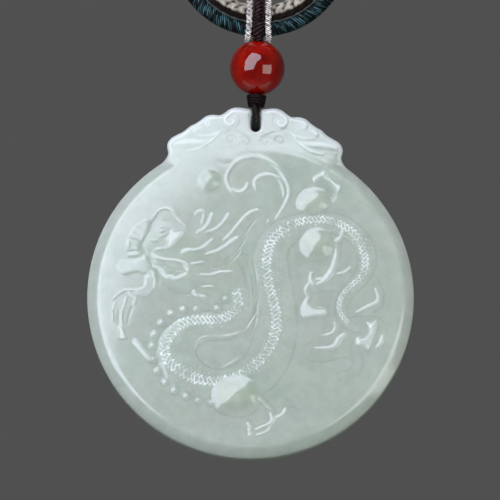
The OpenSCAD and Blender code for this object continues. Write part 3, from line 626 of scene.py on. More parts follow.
# The crest's right half, mirrored to the left: raised lines and cut lines on the sheet
crestLines = [
    [[262.4, 112.6, 1.4, 0.2], [270.6, 110.9, 1.7, 0.3], [276.7, 110.9, 1.8, 0.34],
     [281.5, 113.5, 1.8, 0.36], [285.9, 117.4, 1.9, 0.38], [286.5, 121.4, 1.9, 0.38],
     [283.6, 124.8, 1.9, 0.38], [279.8, 124.6, 1.8, 0.38], [277.8, 121.8, 1.5, 0.34],
     [279.8, 119.6, 1.3, 0.28], [282.4, 120.6, 1.2, 0.22]],
    [[289.7, 118.2, 1.4, 0.14], [296, 119.2, 1.8, 0.22], [301.4, 120.8, 1.8, 0.26],
     [305.8, 123.4, 1.7, 0.28], [305.6, 127, 1.6, 0.28], [302.8, 127, 1.7, 0.3],
     [302.4, 124.4, 1.6, 0.28]],
    [[289, 131, 1.1, 0.2], [293.6, 134.7, 1.5, 0.32], [301.2, 137.4, 1.6, 0.34],
     [308.9, 138, 1.5, 0.28], [314, 137.6, 1.2, 0.16]],
    [[308, 129.6, 1.4, 0.16], [312.4, 130.6, 2.4, 0.26], [316.8, 133.2, 2.6, 0.32]],
    [[292, 134.8, 1, 0.2], [298.1, 141.7, 1.4, 0.34], [305.8, 147.8, 1.6, 0.38],
     [313.5, 152, 1.6, 0.36], [322.8, 154, 1.2, 0.24]],
    [[300, 141, 1.6, 0.14], [310, 144, 3.4, 0.3], [321, 144.6, 3.8, 0.36], [330, 146, 3, 0.3],
     [335.8, 148, 2.4, 0.26]],
]
crestCuts = [
    [[274, 115.6, 1.1, 0.08], [272.6, 121, 1.2, 0.1], [275.2, 127.2, 1.2, 0.1],
     [281.4, 129.6, 1.2, 0.1], [287.4, 127.6, 1.1, 0.08]],
    [[260.8, 136.6, 1.1, 0.08], [265.2, 135.4, 1.2, 0.12], [270.4, 133.4, 1.2, 0.12],
     [276, 131.2, 1.2, 0.12], [282.6, 131.6, 1.2, 0.12], [286.2, 135.8, 1.1, 0.1]],
    [[274.6, 140.4, 1, 0.1], [277.4, 136.8, 1.1, 0.13], [282, 137.2, 1.1, 0.13],
     [283.6, 140.4, 1.1, 0.13], [281, 144, 1.1, 0.12], [277.8, 142.4, 1, 0.1],
     [278.4, 140.2, 0.9, 0.08]],
    [[270.8, 137.8, 1, 0.1], [268.2, 136.6, 1.1, 0.12], [263.4, 137.4, 1.1, 0.13],
     [261, 140.8, 1.1, 0.13], [263.2, 144.2, 1.1, 0.12], [267, 143.2, 1, 0.1],
     [267.2, 140.8, 0.9, 0.08]],
    [[270.2, 144.2, 1.2, 0.1], [271, 145, 1.2, 0.1]],
]


# The share of the tables' heights that is carved, the pearls' height and the contours' depth
# in mm, their radius and half width on the sheet, and from 0 to 1 the whiteness of lines,
# glints, crest and its edge, which is painted highlight, the darkness of outlines and pearls'
# rings, which is painted shade, and the raised tint
carve = dict(line=0.26, mass=0.06, body=0.1, crest=0.16, cut=0.4, pearl=0.04, pearlR=4.6,
             contour=0.05, contourW=1.3, paintedHighlight=0.1, paleGlint=0.5, paleCrest=0.22,
             paleRim=0.4, outline=0.7, ring=0.8, tint=0.7)


# The dragon's height over the field at points p in mm: carriers first, and on them the
# lines, plates and pearls, less the cut lines. The marks for the material come with it.
def dragonHeight(p):
    carrier, detail, cut, pale = (np.zeros(len(p)) for _ in range(4))
    for rows in massLines:
        raisedLine(p, rows, carve["mass"], carrier)
    tone = carrier / carve["mass"]
    for row in massDomes:
        dome(p, row, carrier)
    body, on, paintedEdge = bodyHeight(p)
    # the body's outline painted darker, a painted shade at its foot
    paintedEdge = carve["outline"] * paintedEdge * ease(0.06, 0.02, carrier)
    onTop = body > carrier
    carrier = np.maximum(carrier, body)
    for rows in headLines + maneLines + whiskerLines + limbLines + cloudLines + seamLines:
        raisedLine(p, rows, carve["line"], detail)
    # raised lines painted paler: a painted highlight
    pale += carve["paintedHighlight"] * ease(0.03, 0.1, detail)
    for h, edge, lean, paintedWhite, rows in plates:
        plate(p, h, edge, lean, paintedWhite, rows, detail, pale)
    dome(p, eyeball, detail)
    for x, y in edgePearls:
        dome(p, (x, y, carve["pearlR"], carve["pearlR"], 0, carve["pearl"]), detail)
        # each pearl gets a painted highlight, a pale glint at its upper left, and a painted shade,
        # a dark ring round its foot
        glint = np.hypot(*(p - onPlaque(x - 0.5, y - 0.8)).T) / sheet["unit"]
        pale = np.maximum(pale, carve["paleGlint"] * ease(1.5, 0.5, glint))
        ring = np.hypot(*(p - onPlaque(x, y)).T) / sheet["unit"]
        line = carve["ring"] * ease(1.4, 0.3, np.abs(ring - carve["pearlR"]))
        paintedEdge = np.maximum(paintedEdge * ease(4, 5, ring), line)
    fine = [[[x, y, carve["contourW"], carve["contour"]] for x, y in rows] for rows in contours]
    for rows in cutLines + fine:
        raisedLine(p, rows, carve["cut"], cut)
    plain = onTop & (detail < 0.02)
    way, side, wide = linePlaces(p, bandRows, 5)
    banded = ease(wide * 1.25, wide, np.abs(side)) * plain
    raised = carve["tint"] * ease(0.05, 0.4, np.maximum(carrier, tone / 4))
    # the last mark: cut lines, contours, the body's outline and the pearls' rings painted darker, a
    # painted shade
    return (carrier + detail - cut, on * plain, way, side / np.maximum(wide, 0.1), banded,
            raised, pale, np.maximum(ease(0, 0.03, cut), paintedEdge * (detail < 0.05)))


# Height of the plaque's front at points p: a field that rolls off towards the ridge, the
# bevel outside it, and the crest's sloping face, which sinks into the bevel at its ends,
# with rounded corners between them and lips rounded off along the crest's edge and slot
def frontHeight(p):
    u, v = p.T
    r = np.hypot(u, v)
    past = r - plaque["ridgeR"]
    roll = np.clip((r - plaque["rollR"]) / (plaque["ridgeR"] - plaque["rollR"]), 0, None)
    field = plaque["fieldH"] - (plaque["fieldH"] - plaque["ridgeH"]) * roll ** 2
    slope = (plaque["ridgeH"] - plaque["edgeH"]) / (plaque["edgeR"] - plaque["ridgeR"])
    h = roundMin(field, plaque["ridgeH"] - past * slope, plaque["ridgeRound"])
    crested = ease(*np.radians(plaque["crestEnds"][::-1]), np.arctan2(np.abs(u), v))
    crest = roundMin(field, plaque["crestH"] - plaque["crestSlope"] * past, plaque["crestRound"])
    crest = crest - plaque["crestSink"] * (1 - crested)
    h = np.where(crested > 0, roundMax(h, crest, 0.02 + 0.48 * ease(0, 0.8, past)), h)
    top = np.flatnonzero((v > 20) & (r > 24) & (np.abs(u) < 18))    # the crest's surroundings
    edge = np.full(len(p), 9.0)                                     # mm to the crest's edge
    a = np.linspace(-0.66, 0.66, 700)                               # the angles that it spans
    line = polar(outline(a), a)
    for part in np.array_split(top, 12):
        edge[part] = nearestOn(p[part], line)[0].min(1)
    below = np.minimum(v - (barV - plaque["slotR"] + plaque["slotW"] / 2), 0)
    slotEdge = np.hypot(u, below) - plaque["slotW"] / 2
    onSlot = v > plaque["edgeR"] - 0.2                              # not on the field's rim
    h = h - plaque["lip"] * crested * np.clip(1 - edge / plaque["lipW"], 0, 1) ** 2
    h = h - plaque["slotLip"] * np.clip(1 - slotEdge / plaque["slotLipW"], 0, 1) ** 2 * onSlot
    # the crest's edge and the slot's lip painted paler: a painted highlight
    paintedEdge = (ease(0.75, 0.5, edge) + ease(0.3, 0.1, np.abs(slotEdge - 0.2)) * onSlot) * crested
    q = np.stack([np.abs(u[top]), v[top]], 1)
    up, cut = np.zeros(len(q)), np.zeros(len(q))
    for rows in crestLines:
        raisedLine(q, rows, carve["crest"], up)
    for rows in crestCuts:
        raisedLine(q, rows, carve["cut"], cut)
    h[top] += (up - cut) * ease(0, 0.6, edge[top])
    relief, *marks, pale, paintedShade = dragonHeight(p)
    # the crest's raised lines painted paler: a painted highlight
    pale[top] = np.maximum(pale[top], carve["paleCrest"] * ease(0.01, 0.05, up))
    # the crest's cut lines painted darker: a painted shade
    paintedShade[top] = np.maximum(paintedShade[top], ease(0, 0.04, cut))
    pale = np.maximum(pale, carve["paleRim"] * paintedEdge)
    return h + relief * (r < plaque["reliefR"]), marks + [pale, paintedShade]


# Height of its back: a flat face, the bevel outside it and the crest's lower flat back
def backHeight(p):
    u, v = p.T
    past = np.hypot(u, v) - plaque["ridgeR"]
    slope = (plaque["backH"] - plaque["edgeH"]) / (plaque["edgeR"] - plaque["ridgeR"])
    flat = np.full(len(p), plaque["backH"])
    h = roundMin(flat, flat - past * slope, plaque["backRound"])
    far = outline(np.arctan2(u, v)) - plaque["edgeR"]
    crested = ease(0.05, 1.2, far) * (v > 0)
    crest = plaque["crestBack"] - plaque["crestBackSink"] * (1 - crested)
    return np.where(crested > 0, roundMax(h, crest, plaque["crestBackRound"]), h)


# Ring radius at share k/rings of the way out: even steps to innerR, then even steps to
# the outline at that angle
def ringRadius(k, angle):
    inner = plaque["innerR"] * k / plaque["innerRings"]
    t = (k - plaque["innerRings"]) / (plaque["rings"] - plaque["innerRings"])
    return np.where(t < 0, inner, plaque["innerR"] + (outline(angle) - plaque["innerR"]) * t)


# The plaque as one closed mesh. Front: a square grid whose square rings are drawn as
# circles, (i, j) -> ring k = max(|i|, |j|) at its share of the way round. Rim and back:
# rings of the outer ring's angles, closed by a fan. The marks are 0 behind the front.
def plaqueMesh():
    n = plaque["rings"]
    i, j = np.meshgrid(np.arange(-n, n + 1), np.arange(-n, n + 1))
    i, j = i.ravel(), j.ravel()
    k = np.maximum(np.abs(i), np.abs(j))
    safe = np.maximum(k, 1)
    quarter = np.pi / 4
    angle = np.where(np.abs(j) >= np.abs(i), quarter * i / safe * np.where(j < 0, -1, 1),
                     2 * quarter * np.sign(i) - quarter * j / safe * np.sign(i))
    angle = np.where((np.abs(j) >= np.abs(i)) & (j < 0), np.pi + angle, angle)
    angle = np.where(angle > np.pi, angle - 2 * np.pi, angle)
    p = polar(ringRadius(k, angle), angle)
    h, marks = frontHeight(p)
    side = 2 * n + 1
    border = np.concatenate([np.arange(side), np.arange(1, side) * side + side - 1,
                             side * side - 1 - np.arange(1, side),
                             np.arange(side - 2, 0, -1) * side])
    a, edgeH, far = angle[border], h[border], outline(angle[border])
    rings = [(far + plaque["rimOut"] * out, edgeH * share) for out, share in plaque["rimSteps"]]
    for base in plaque["backR"]:
        t = (base - plaque["innerR"]) / (plaque["edgeR"] - plaque["innerR"])
        ringR = plaque["innerR"] + (far - plaque["innerR"]) * t
        rings.append((ringR, -backHeight(polar(ringR, a))))
    points = [np.stack([p[:, 0], -h, discZ + p[:, 1]], 1)]
    start, m, last = side * side, len(border), border
    faces = gridFaces(side, side, columnsClose=False).tolist()
    for ringR, ringH in rings:
        points.append(np.stack([ringR * np.sin(a), -ringH, discZ + ringR * np.cos(a)], 1))
        ring = start + np.arange(m)
        faces += np.stack([np.roll(last, -1), last, ring, np.roll(ring, -1)], 1).tolist()
        last, start = ring, start + m
    points = np.vstack(points + [[[0, plaque["backH"], discZ]]])
    faces += np.stack([np.roll(last, -1), last, np.full(m, start)], 1).tolist()
    return points, faces, [np.append(mark, np.zeros(len(points) - len(h))) for mark in marks]


# The slot's cutters: a straight one, round at its lower end, through from front to back
# and out at the top, and the round bar that it leaves, set a little into the jade
def slotMeshes():
    w, barR, beyond, inset = plaque["slotW"] / 2, string["barR"], 5, 0.4
    a = np.linspace(-np.pi / 2, np.pi / 2, 25)
    x, z = w * np.sin(a), barZ - plaque["slotR"] + w - w * np.cos(a)
    x, z = np.append(x, [w, -w]), np.append(z, [barZ + beyond, barZ + beyond])
    walls = [np.stack([x, 0 * x + y, z], 1) for y in (beyond, -beyond)]
    a = np.linspace(0, 2 * np.pi, 64, endpoint=False)
    ends = [np.stack([0 * a + x, barR * np.cos(a), barZ + barR * np.sin(a)], 1)
            for x in (-w - inset, w + inset)]
    return [(np.vstack(rings), tubeFaces(2, len(rings[0]))) for rings in (walls, ends)]


# Jade: pale grey-green nephrite, ground and polished. Light goes some way into it, so it
# looks soft under its gloss, with faint clouds. Its grain and the scales' specks are drawn
# coarser than the real ones, so that they show at the photo's size.
jade = dict(pale="#abb1a6", green="#a5afa2", warm="#adaca2", warmShare=0.35, grainRise=0.04,
            carvedTone="#f3f6ec", roughness=0.1, ior=1.61, depth=12, subsurface=1.0)
# The carving's fine marks. The zigzag: pitch and the lines' rise in mm, and its swing and
# half its lines' width as shares of the band's half width. The specks: mm from one to the
# next, size, strength, and how far beside the band they go. The colours of the scales'
# painted highlight and of the pale lines' painted highlight, and the painted shade that cut
# lines and outlines take from the stone's tone.
carved = dict(pitch=1.55, swing=0.8, line=0.17, hook=0.12, rise=0.012, paintedWhite="#dce4de", row=0.62,
              speck=0.34, faint=0.75, reach=2.6, paintedHighlight="#eef8f4", paintedShade=-0.12)
plaqueMarks = ("scaled", "way", "side", "banded", "raised", "paintedHighlight", "paintedCutShade")


# The stone's colour: green to pale by cloudy noise and part of the way to warm by another,
# times the tint of raised forms, then times its grain less the painted shade of cut lines
# and outlines. Over it the scales. In the band, on the body's flank where the highlight
# falls, they are a wavy line and its mirror image, side = +-swing sin(2 pi way / pitch), bent
# to hooks, the second one coming and going, and over the rest of the body specks. Their
# lines are painted whiter, a painted highlight, and the same mark bumps them. The pale
# marks of lines, plates, pearls and the crest are painted highlight too.
def jadeMaterial():
    m, t = newMaterial("polished nephrite jade")
    where = node(t, "TexCoord").outputs["Object"]
    marks = {a: node(t, "Attribute", dict(attribute_name=a)).outputs["Fac"] for a in plaqueMarks}
    cloud = node(t, "TexNoise", dict(Scale=90, Detail=5, Roughness=0.6, Distortion=0.6),
                 dict(Vector=where))
    grain = node(t, "TexNoise", dict(Scale=420, Detail=4, Roughness=0.65), dict(Vector=where))
    warm = node(t, "TexNoise", dict(Scale=130, Detail=3, Roughness=0.5, Distortion=1.2),
                dict(Vector=where))
    base = node(t, "ValToRGB", {}, dict(Fac=cloud))
    for end, at, tint in zip(base.color_ramp.elements, (0.34, 0.66), ("green", "pale")):
        end.position, end.color = at, colour(jade[tint])
    share = node(t, "MapRange", {"From Min": 0.54, "From Max": 0.72, "To Max": jade["warmShare"]},
                 dict(Value=warm))
    stone = node(t, "Mix", {"data_type": "RGBA", 7: colour(jade["warm"])}, {0: share, 6: base})
    formed = node(t, "Mix", {"data_type": "RGBA", "blend_type": "MULTIPLY",
                             7: colour(jade["carvedTone"])},
                  {0: marks["raised"], 6: stone.outputs[2]})
    fleck = node(t, "MapRange", {"From Min": 0.35, "From Max": 0.65, "To Min": 0.93,
                                 "To Max": 1.05}, dict(Value=grain))
    # cut lines, contours and outlines take from the stone's tone: a painted shade
    shade = node(t, "Math", {"operation": "MULTIPLY_ADD", 1: carved["paintedShade"]},
                 {0: marks["paintedCutShade"], 2: fleck})
    tone = node(t, "VectorMath", dict(operation="SCALE"), {0: formed.outputs[2], "Scale": shade})

    # the zigzag's two lines: phase along the body, wobbling and hooked, then their swing
    times, plus, less, most, size = (
        dict(operation=o) for o in ("MULTIPLY", "ADD", "SUBTRACT", "MAXIMUM", "ABSOLUTE"))
    wobble, drift = (node(t, "Math", {"operation": "MULTIPLY_ADD", 1: 0.8, 2: -0.4}, {0: noise})
                     for noise in (grain, warm))
    bent = node(t, "Math", plus, {0: marks["side"], 1: drift})
    half = node(t, "Math", {"operation": "MULTIPLY", 1: np.pi}, {0: marks["side"]})
    bow = node(t, "Math", dict(operation="SINE"), {0: half})
    hook = node(t, "Math", {"operation": "MULTIPLY", 1: carved["hook"]}, {0: bow})
    at = node(t, "Math", {"operation": "MULTIPLY_ADD", 1: 1 / carved["pitch"]},
              {0: marks["way"], 2: hook})
    turns = node(t, "Math", plus, {0: at, 1: wobble})
    phase = node(t, "Math", {"operation": "MULTIPLY", 1: 2 * np.pi}, {0: turns})
    wave = node(t, "Math", dict(operation="SINE"), {0: phase})
    swing = node(t, "Math", {"operation": "MULTIPLY", 1: carved["swing"]}, {0: wave})
    wide = carved["line"] * float(np.hypot(1, 4 * carved["swing"] / carved["pitch"]))
    fade = {"interpolation_type": "SMOOTHSTEP", "To Min": 1, "To Max": 0}
    lines = []
    for apart, side in ((less, bent), (plus, marks["side"])):
        off = node(t, "Math", apart, {0: side, 1: swing})
        off = node(t, "Math", size, {0: off})
        lines.append(node(t, "MapRange", {**fade, "From Max": wide}, dict(Value=off)))
    comes = node(t, "MapRange", {"From Min": 0.42, "From Max": 0.56, "To Min": 0.35},
                 dict(Value=cloud))
    worn = node(t, "MapRange", {"From Min": 0.36, "From Max": 0.56, "To Min": 0.25},
                dict(Value=grain))
    second = node(t, "Math", times, {0: lines[1], 1: comes})
    both = node(t, "Math", most, {0: lines[0], 1: second})
    cut = node(t, "Math", times, {0: both, 1: worn})
    band = node(t, "Math", times, {0: cut, 1: marks["banded"]})

    # the specks: dots about scattered places, beside the band and where the clouds let them,
    # painted glints
    dots = node(t, "TexVoronoi", dict(Scale=1 / (carved["row"] * mm)), dict(Vector=where))
    dots = node(t, "MapRange", {**fade, "From Max": carved["speck"]}, dict(Value=dots))
    seen = node(t, "MapRange", {"From Min": 0.3, "From Max": 0.5}, dict(Value=cloud))
    strength = node(t, "Math", {"operation": "MULTIPLY", 1: carved["faint"]}, {0: seen})
    away = node(t, "Math", size, {0: marks["side"]})
    away = node(t, "Math", {"operation": "SUBTRACT", 1: 1}, {0: away})
    close = node(t, "MapRange", {**fade, "From Max": carved["reach"]}, dict(Value=away))
    beside = node(t, "Math", less, {0: marks["scaled"], 1: marks["banded"]})
    beside = node(t, "Math", times, {0: beside, 1: close})
    rest = node(t, "Math", times, {0: dots, 1: beside})
    rest = node(t, "Math", {"operation": "MAXIMUM", 1: 0}, {0: rest})
    rest = node(t, "Math", times, {0: rest, 1: strength})

    height = node(t, "Math", most, {0: band, 1: rest})
    # the scales' lines and specks painted whiter, a painted highlight, then the pale marks' painted
    # highlight over them
    scaleHighlight = node(t, "Mix", {"data_type": "RGBA", 7: colour(carved["paintedWhite"])},
                   {0: height, 6: tone})
    lineHighlight = node(t, "Mix", {"data_type": "RGBA", 7: colour(carved["paintedHighlight"])},
                 {0: marks["paintedHighlight"], 6: scaleHighlight.outputs[2]})
    grained = node(t, "Bump", dict(Strength=0.12, Distance=jade["grainRise"] * mm),
                   dict(Height=grain))
    carving = node(t, "Bump", dict(Strength=1, Distance=carved["rise"] * mm),
                   dict(Height=height, Normal=grained))
    skin = node(t, "BsdfPrincipled", {
        "IOR": jade["ior"], "Roughness": jade["roughness"], "Subsurface Weight": jade["subsurface"],
        "Subsurface Scale": jade["depth"] * mm, "Subsurface Radius": (0.8, 1.0, 0.85)},
        {"Base Color": lineHighlight.outputs[2], "Normal": carving})
    node(t, "OutputMaterial", {}, dict(Surface=skin))
    return m


# The plaque with its marks at its points, less the slot's cutter, with the bar put back
def addPlaque():
    points, faces, marks = plaqueMesh()
    piece = addPiece("carved jade plaque", points, faces, "plaque", jadeMaterial(),
                     ["jade_plaque"])
    for name, values in zip(plaqueMarks, marks):
        field = piece.data.attributes.new(name, "FLOAT", "POINT")
        field.data.foreach_set("value", values.astype(np.float32))
    cutters = []
    for (points, faces), way in zip(slotMeshes(), ("DIFFERENCE", "UNION")):
        cutters.append(addObject("cutter", points * mm, faces))
        cut = piece.modifiers.new("slot", "BOOLEAN")
        cut.operation, cut.solver, cut.object = way, "EXACT", cutters[-1]
    whole = piece.evaluated_get(bpy.context.evaluated_depsgraph_get())
    done = bpy.data.meshes.new_from_object(whole)
    piece.modifiers.clear()
    piece.data = done
    done.set_sharp_from_angle(angle=np.radians(50))
    for cutter in cutters:
        bpy.data.objects.remove(cutter)
    print("plaque cut:", len(done.polygons), "faces")


# What threadMaterial reads: the corners' places as the layer "way", 0 over the ends, and
# each point's rise, from 0 in a furrow to 1 on top, which sets the furrows' painted shade
def setPlaces(piece, places, rise):
    layer = piece.data.uv_layers.new(name="way")
    uv = np.zeros((len(layer.data), 2), np.float32)
    uv[:4 * len(places)] = places.reshape(-1, 2)
    layer.data.foreach_set("uv", uv.ravel())
    field = piece.data.attributes.new("rise", "FLOAT", "POINT")
    field.data.foreach_set("value", rise.astype(np.float32))


# A route's smooth points at even steps: its length divided into rows of about one step
def evenRoute(route, step, closed=False):
    q = smoothRows(route, 10, closed)
    if closed:
        q = np.vstack([q, q[:1]])
    way = np.concatenate([[0], np.cumsum(np.linalg.norm(np.diff(q, axis=0), axis=1))])
    n = int(round(way[-1] / step))
    at = np.linspace(0, way[-1], n + 1)
    p = np.stack([np.interp(at, way, q[:, k]) for k in range(3)], 1)
    return (p[:-1], at[:-1]) if closed else (p, at)


# A cord's skin about a route in a plane whose normal is `across`: at angle a and way s,
# p + r(a, s) (cos a across + sin a out), out the way's normal in its plane. Its faces, their
# corners' places and its points' rise come with it.
def cordSkin(route, step, columns, across, radius, closed=False):
    p, way = evenRoute(route, step, closed)
    along = np.roll(p, -1, 0) - np.roll(p, 1, 0) if closed else np.gradient(p, axis=0)
    along /= np.linalg.norm(along, axis=1)[:, None]
    across = np.asarray(across, float) - 0 * along
    across = across - (across * along).sum(1)[:, None] * along
    across /= np.linalg.norm(across, axis=1)[:, None]
    out = np.cross(along, across)
    a = np.linspace(0, 2 * np.pi, columns, endpoint=False)[:, None]
    r = radius(a[:, 0], way[:, None])[..., None]
    # the rise: 0 in a furrow, where the material paints shade, to 1 on top
    rise = (r - r.min()) / (np.ptp(r) + 1e-6) if np.ptp(r) > 0.01 else 0 * r + 1
    points = p[:, None] + r * (np.cos(a) * across[:, None] + np.sin(a) * out[:, None])
    faces = [f[::-1] for f in tubeFaces(len(p), columns, closed)]
    return points.reshape(-1, 3), faces, tubePlaces(way, columns, closed)[:, ::-1], rise.ravel()


# Plied cord: r = radius (1 - depth + depth |cos(plies (a - 2 pi s / lead) / 2)|^0.8)
def plied(radius, plies, lead, depth):
    def r(a, s):
        ply = np.abs(np.cos(plies * (a - 2 * np.pi * s / lead) / 2)) ** 0.8
        return radius * (1 - depth + depth * ply)
    return r


# Braid: two sets of yarns turning opposite ways, each yarn a rounded ridge that rises
# where it goes over: r = radius - height + height max(|cos one|^0.7 (0.8 + 0.2 over),
# |cos two|^0.7 (0.8 - 0.2 over))
def braided(radius, yarns, lead, height):
    def r(a, s):
        one = yarns * (a - 2 * np.pi * s / lead) / 2
        two = yarns * (a + 2 * np.pi * s / lead) / 2
        c1, c2 = np.abs(np.cos(one)), np.abs(np.cos(two))
        over = np.sin(two) * np.sign(np.cos(one))
        rise = np.maximum(c1 ** 0.7 * (0.8 + 0.2 * over), c2 ** 0.7 * (0.8 - 0.2 * over))
        return radius - height + height * rise
    return r


# The cords' threads: matt, with a soft sheen on their rounds, and their furrows painted dark,
# a painted shade. Each cord has its colours, the threads round it, their lead and relief in
# mm, where their rounds and its deep places begin, its dye uneven from low to high by a noise
# or by strokes of some mm, which are painted glints, and the mesh's step in mm, columns and
# section. The neck cord's threads are drawn coarser than the real ones, so that they show at
# the photo's size.
plainThread = dict(crest=0, deep=0.35, dye=300, low=0.75, high=1.2, shine=0.2, sheen=0.03)
# the neck cord's strokes: brighter dashes on random threads, painted glints
neckCord = dict(plainThread, thread="#334c50", furrowShade="#000b0d", threads=10, lead=4,
                relief=0.12, roughness=0.4, crest=0.1, glintStrokes=0.7, shine=0.1, step=0.6, columns=28,
                section=plied(string["neckD"] / 2, 3, 9, 0))
# the braid's side away from the loop's middle is painted dark: a painted shade
braidCord = dict(plainThread, thread="#fff2dc", furrowShade="#140a06", threads=40, lead=9,
                 relief=0.05, roughness=0.5, deep=0.4, dye=900, low=0.7, high=1.3, sheen=0.05,
                 under=(-0.8, -0.2), step=0.4, columns=32,
                 section=braided(string["braidD"] / 2 + 0.18, 4, 7.2, 0.5))
column = dict(plainThread, thread="#573636", furrowShade="#030000", threads=16, lead=2.5,
              relief=0.04, roughness=0.5, deep=0.6, dye=1500, low=0.1, high=1.4, shine=0.1,
              step=0.09, columns=32, section=plied(string["columnD"] / 2, 4, 2.52, 0.24))
strand = dict(plainThread, thread="#fffaf2", furrowShade="#3a2018", threads=5, lead=-1.8,
              relief=0.04, roughness=0.5, deep=0.15, dye=1500, low=0.5, high=1.7, sheen=0.1,
              step=0.09, columns=20, section=braided(string["strandD"] / 2 + 0.05, 2, 1.8, 0.35))
bail = dict(plainThread, thread="#1c0c0a", furrowShade="#030000", threads=8, lead=2.6, relief=0.12,
            roughness=0.28, dye=1500, low=0.3, high=1.6, sheen=0, step=0.12, columns=28,
            section=plied(string["bailD"] / 2, 3, 3.2, 0.12))
stem = dict(bail, step=0.2, columns=24, section=plied(0.8, 3, 3.2, 0.12))


# Thread material: threads * (mm along / lead - share round), folded to a wave and rounded,
# is each thread's round. That times the rise takes the furrows' painted shade to the
# thread's colour, and the dye's noise, or a chance for each stroke, a painted glint, makes
# it darker or lighter.
def threadMaterial(name, look):
    m, t = newMaterial(name)
    where = node(t, "TexCoord").outputs["Object"]
    way = node(t, "SeparateXYZ", {}, dict(Vector=node(t, "UVMap", dict(uv_map="way"))))
    slant = node(t, "Math", {"operation": "MULTIPLY", 1: look["threads"] / look["lead"]},
                 {0: way.outputs["Y"]})
    turn = node(t, "Math", {"operation": "MULTIPLY_ADD", 1: -look["threads"]},
                {0: way.outputs["X"], 2: slant})
    wave = node(t, "Math", {"operation": "PINGPONG", 1: 0.5}, {0: turn})
    rounded = node(t, "MapRange", {"interpolation_type": "SMOOTHSTEP", "From Min": look["crest"],
                                   "From Max": 0.5}, dict(Value=wave))
    rise = node(t, "Attribute", dict(attribute_name="rise"))
    high = node(t, "MapRange", {"From Min": look["deep"], "From Max": 0.95},
                dict(Value=rise.outputs["Fac"]))
    fuzz = node(t, "TexNoise", dict(Scale=2600, Detail=3, Roughness=0.6), dict(Vector=where))
    dye = node(t, "TexNoise", dict(Scale=look["dye"], Detail=2, Roughness=0.5), dict(Vector=where))
    lit = node(t, "Math", dict(operation="MULTIPLY"), {0: rounded, 1: high})
    # painted shade: furrows and low places take the dark furrow colour
    shade = node(t, "Mix", {"data_type": "RGBA", 6: colour(look["furrowShade"]),
                            7: colour(look["thread"])}, {0: lit})
    tint = node(t, "MapRange", {"From Min": 0.35, "From Max": 0.65, "To Min": look["low"],
                                "To Max": look["high"]}, dict(Value=dye))
    # strokes: each dash of thread made darker or brighter by chance, painted glints
    if "glintStrokes" in look:
        dash = node(t, "Math", {"operation": "DIVIDE", 1: look["glintStrokes"]}, {0: way.outputs["Y"]})
        x, y = (node(t, "Math", dict(operation="FLOOR"), {0: a}) for a in (turn, dash))
        luck = node(t, "TexWhiteNoise", dict(noise_dimensions="2D"),
                    dict(Vector=node(t, "CombineXYZ", {}, dict(X=x, Y=y))))
        tint = node(t, "MapRange", {"From Min": 0.35, "From Max": 1, "To Min": 0.15, "To Max": 2.6},
                    dict(Value=luck.outputs["Value"]))
    tone = node(t, "VectorMath", dict(operation="SCALE"), {0: shade.outputs[2], "Scale": tint})
    rough = node(t, "Math", {"operation": "MULTIPLY_ADD", 1: 0.35}, {0: fuzz, 2: rounded})
    bump = node(t, "Bump", dict(Strength=0.8, Distance=look["relief"] * mm), dict(Height=rough))
    skin = node(t, "BsdfPrincipled", {
        "Roughness": look["roughness"], "Specular IOR Level": look["shine"],
        "Sheen Weight": look["sheen"], "Sheen Roughness": 0.4},
        {"Base Color": tone, "Normal": bump})
    node(t, "OutputMaterial", {}, dict(Surface=skin))
    return m


# A cord piece of one look. Where that has a shaded side, the side away from the loop's
# middle is painted in the furrow's colour, a painted shade: its rise fades out between these
# two shares of the radius.
def addCord(name, look, route, replaces, across=(1, 0, 0), closed=False):
    points, faces, places, rise = cordSkin(route, look["step"], look["columns"], across,
                                           look["section"], closed)
    if "under" in look:
        out = np.sin(np.linspace(0, 2 * np.pi, look["columns"], endpoint=False))
        rise = rise * np.tile(ease(*look["under"], out), len(rise) // len(out))
    piece = addPiece(name, points, faces, "necklace", threadMaterial(name + " thread", look),
                     [replaces])
    setPlaces(piece, places, rise)


# Cord over the neck cord's lowest part: up one side, round the cords' tops and down
def overRoute(x, spread, y, lift, foot):
    leg = [[x + spread, foot[0], beadMid + string["beadD"] / 2 + foot[1]],      # at the bead
           [x + spread / 2, y - 0.15, neckBottom - 0.9], [x, y, neckBottom + 0.4],
           [x, y, neckBottom + 2]]                                      # beside the neck cord
    a = np.radians(np.arange(0, 181, 30))
    top = np.stack([x + 0 * a, y * np.cos(a), braidBottom + lift + y * np.sin(a)], 1)
    return np.vstack([leg, top, (np.array(leg) * [1, -1, 1])[::-1]])


# The two neck loops, what goes over them, the ring round the bar and the cord in the bead
def addCords():
    addCord("teal neck cord", neckCord, loopRoute(0), "neck_cord", (0, 1, 0), True)
    addCord("cream braided cord", braidCord, loopRoute(cordPitch), "braided_cord",
            (0, 1, 0), True)
    addCord("wrapped brown column", column, overRoute(0, 0, 2.5, 0, (1.6, 0.1)),
            "wrapped_loop")
    for side, name in ((-1, "left"), (1, "right")):
        addCord(name + " side strand", strand,
                overRoute(1.7 * side, 0.2 * side, 2.1, 0.3, (1.5, -0.15)), "side_strand_" + name)
    a = np.radians(130 + np.arange(0, 281, 10))
    ring = np.stack([0 * a, bailR * np.cos(a), barZ + bailR * np.sin(a)], 1)
    addCord("brown bail cord", bail, ring, "bail_cord")
    ends = knotBase + string["knotH"] + 0.02, beadMid + string["beadD"] / 2 - 0.05
    addCord("brown stem cord", stem, [[0, 0, z] for z in np.linspace(*ends, 8)],
            "stem_cord")


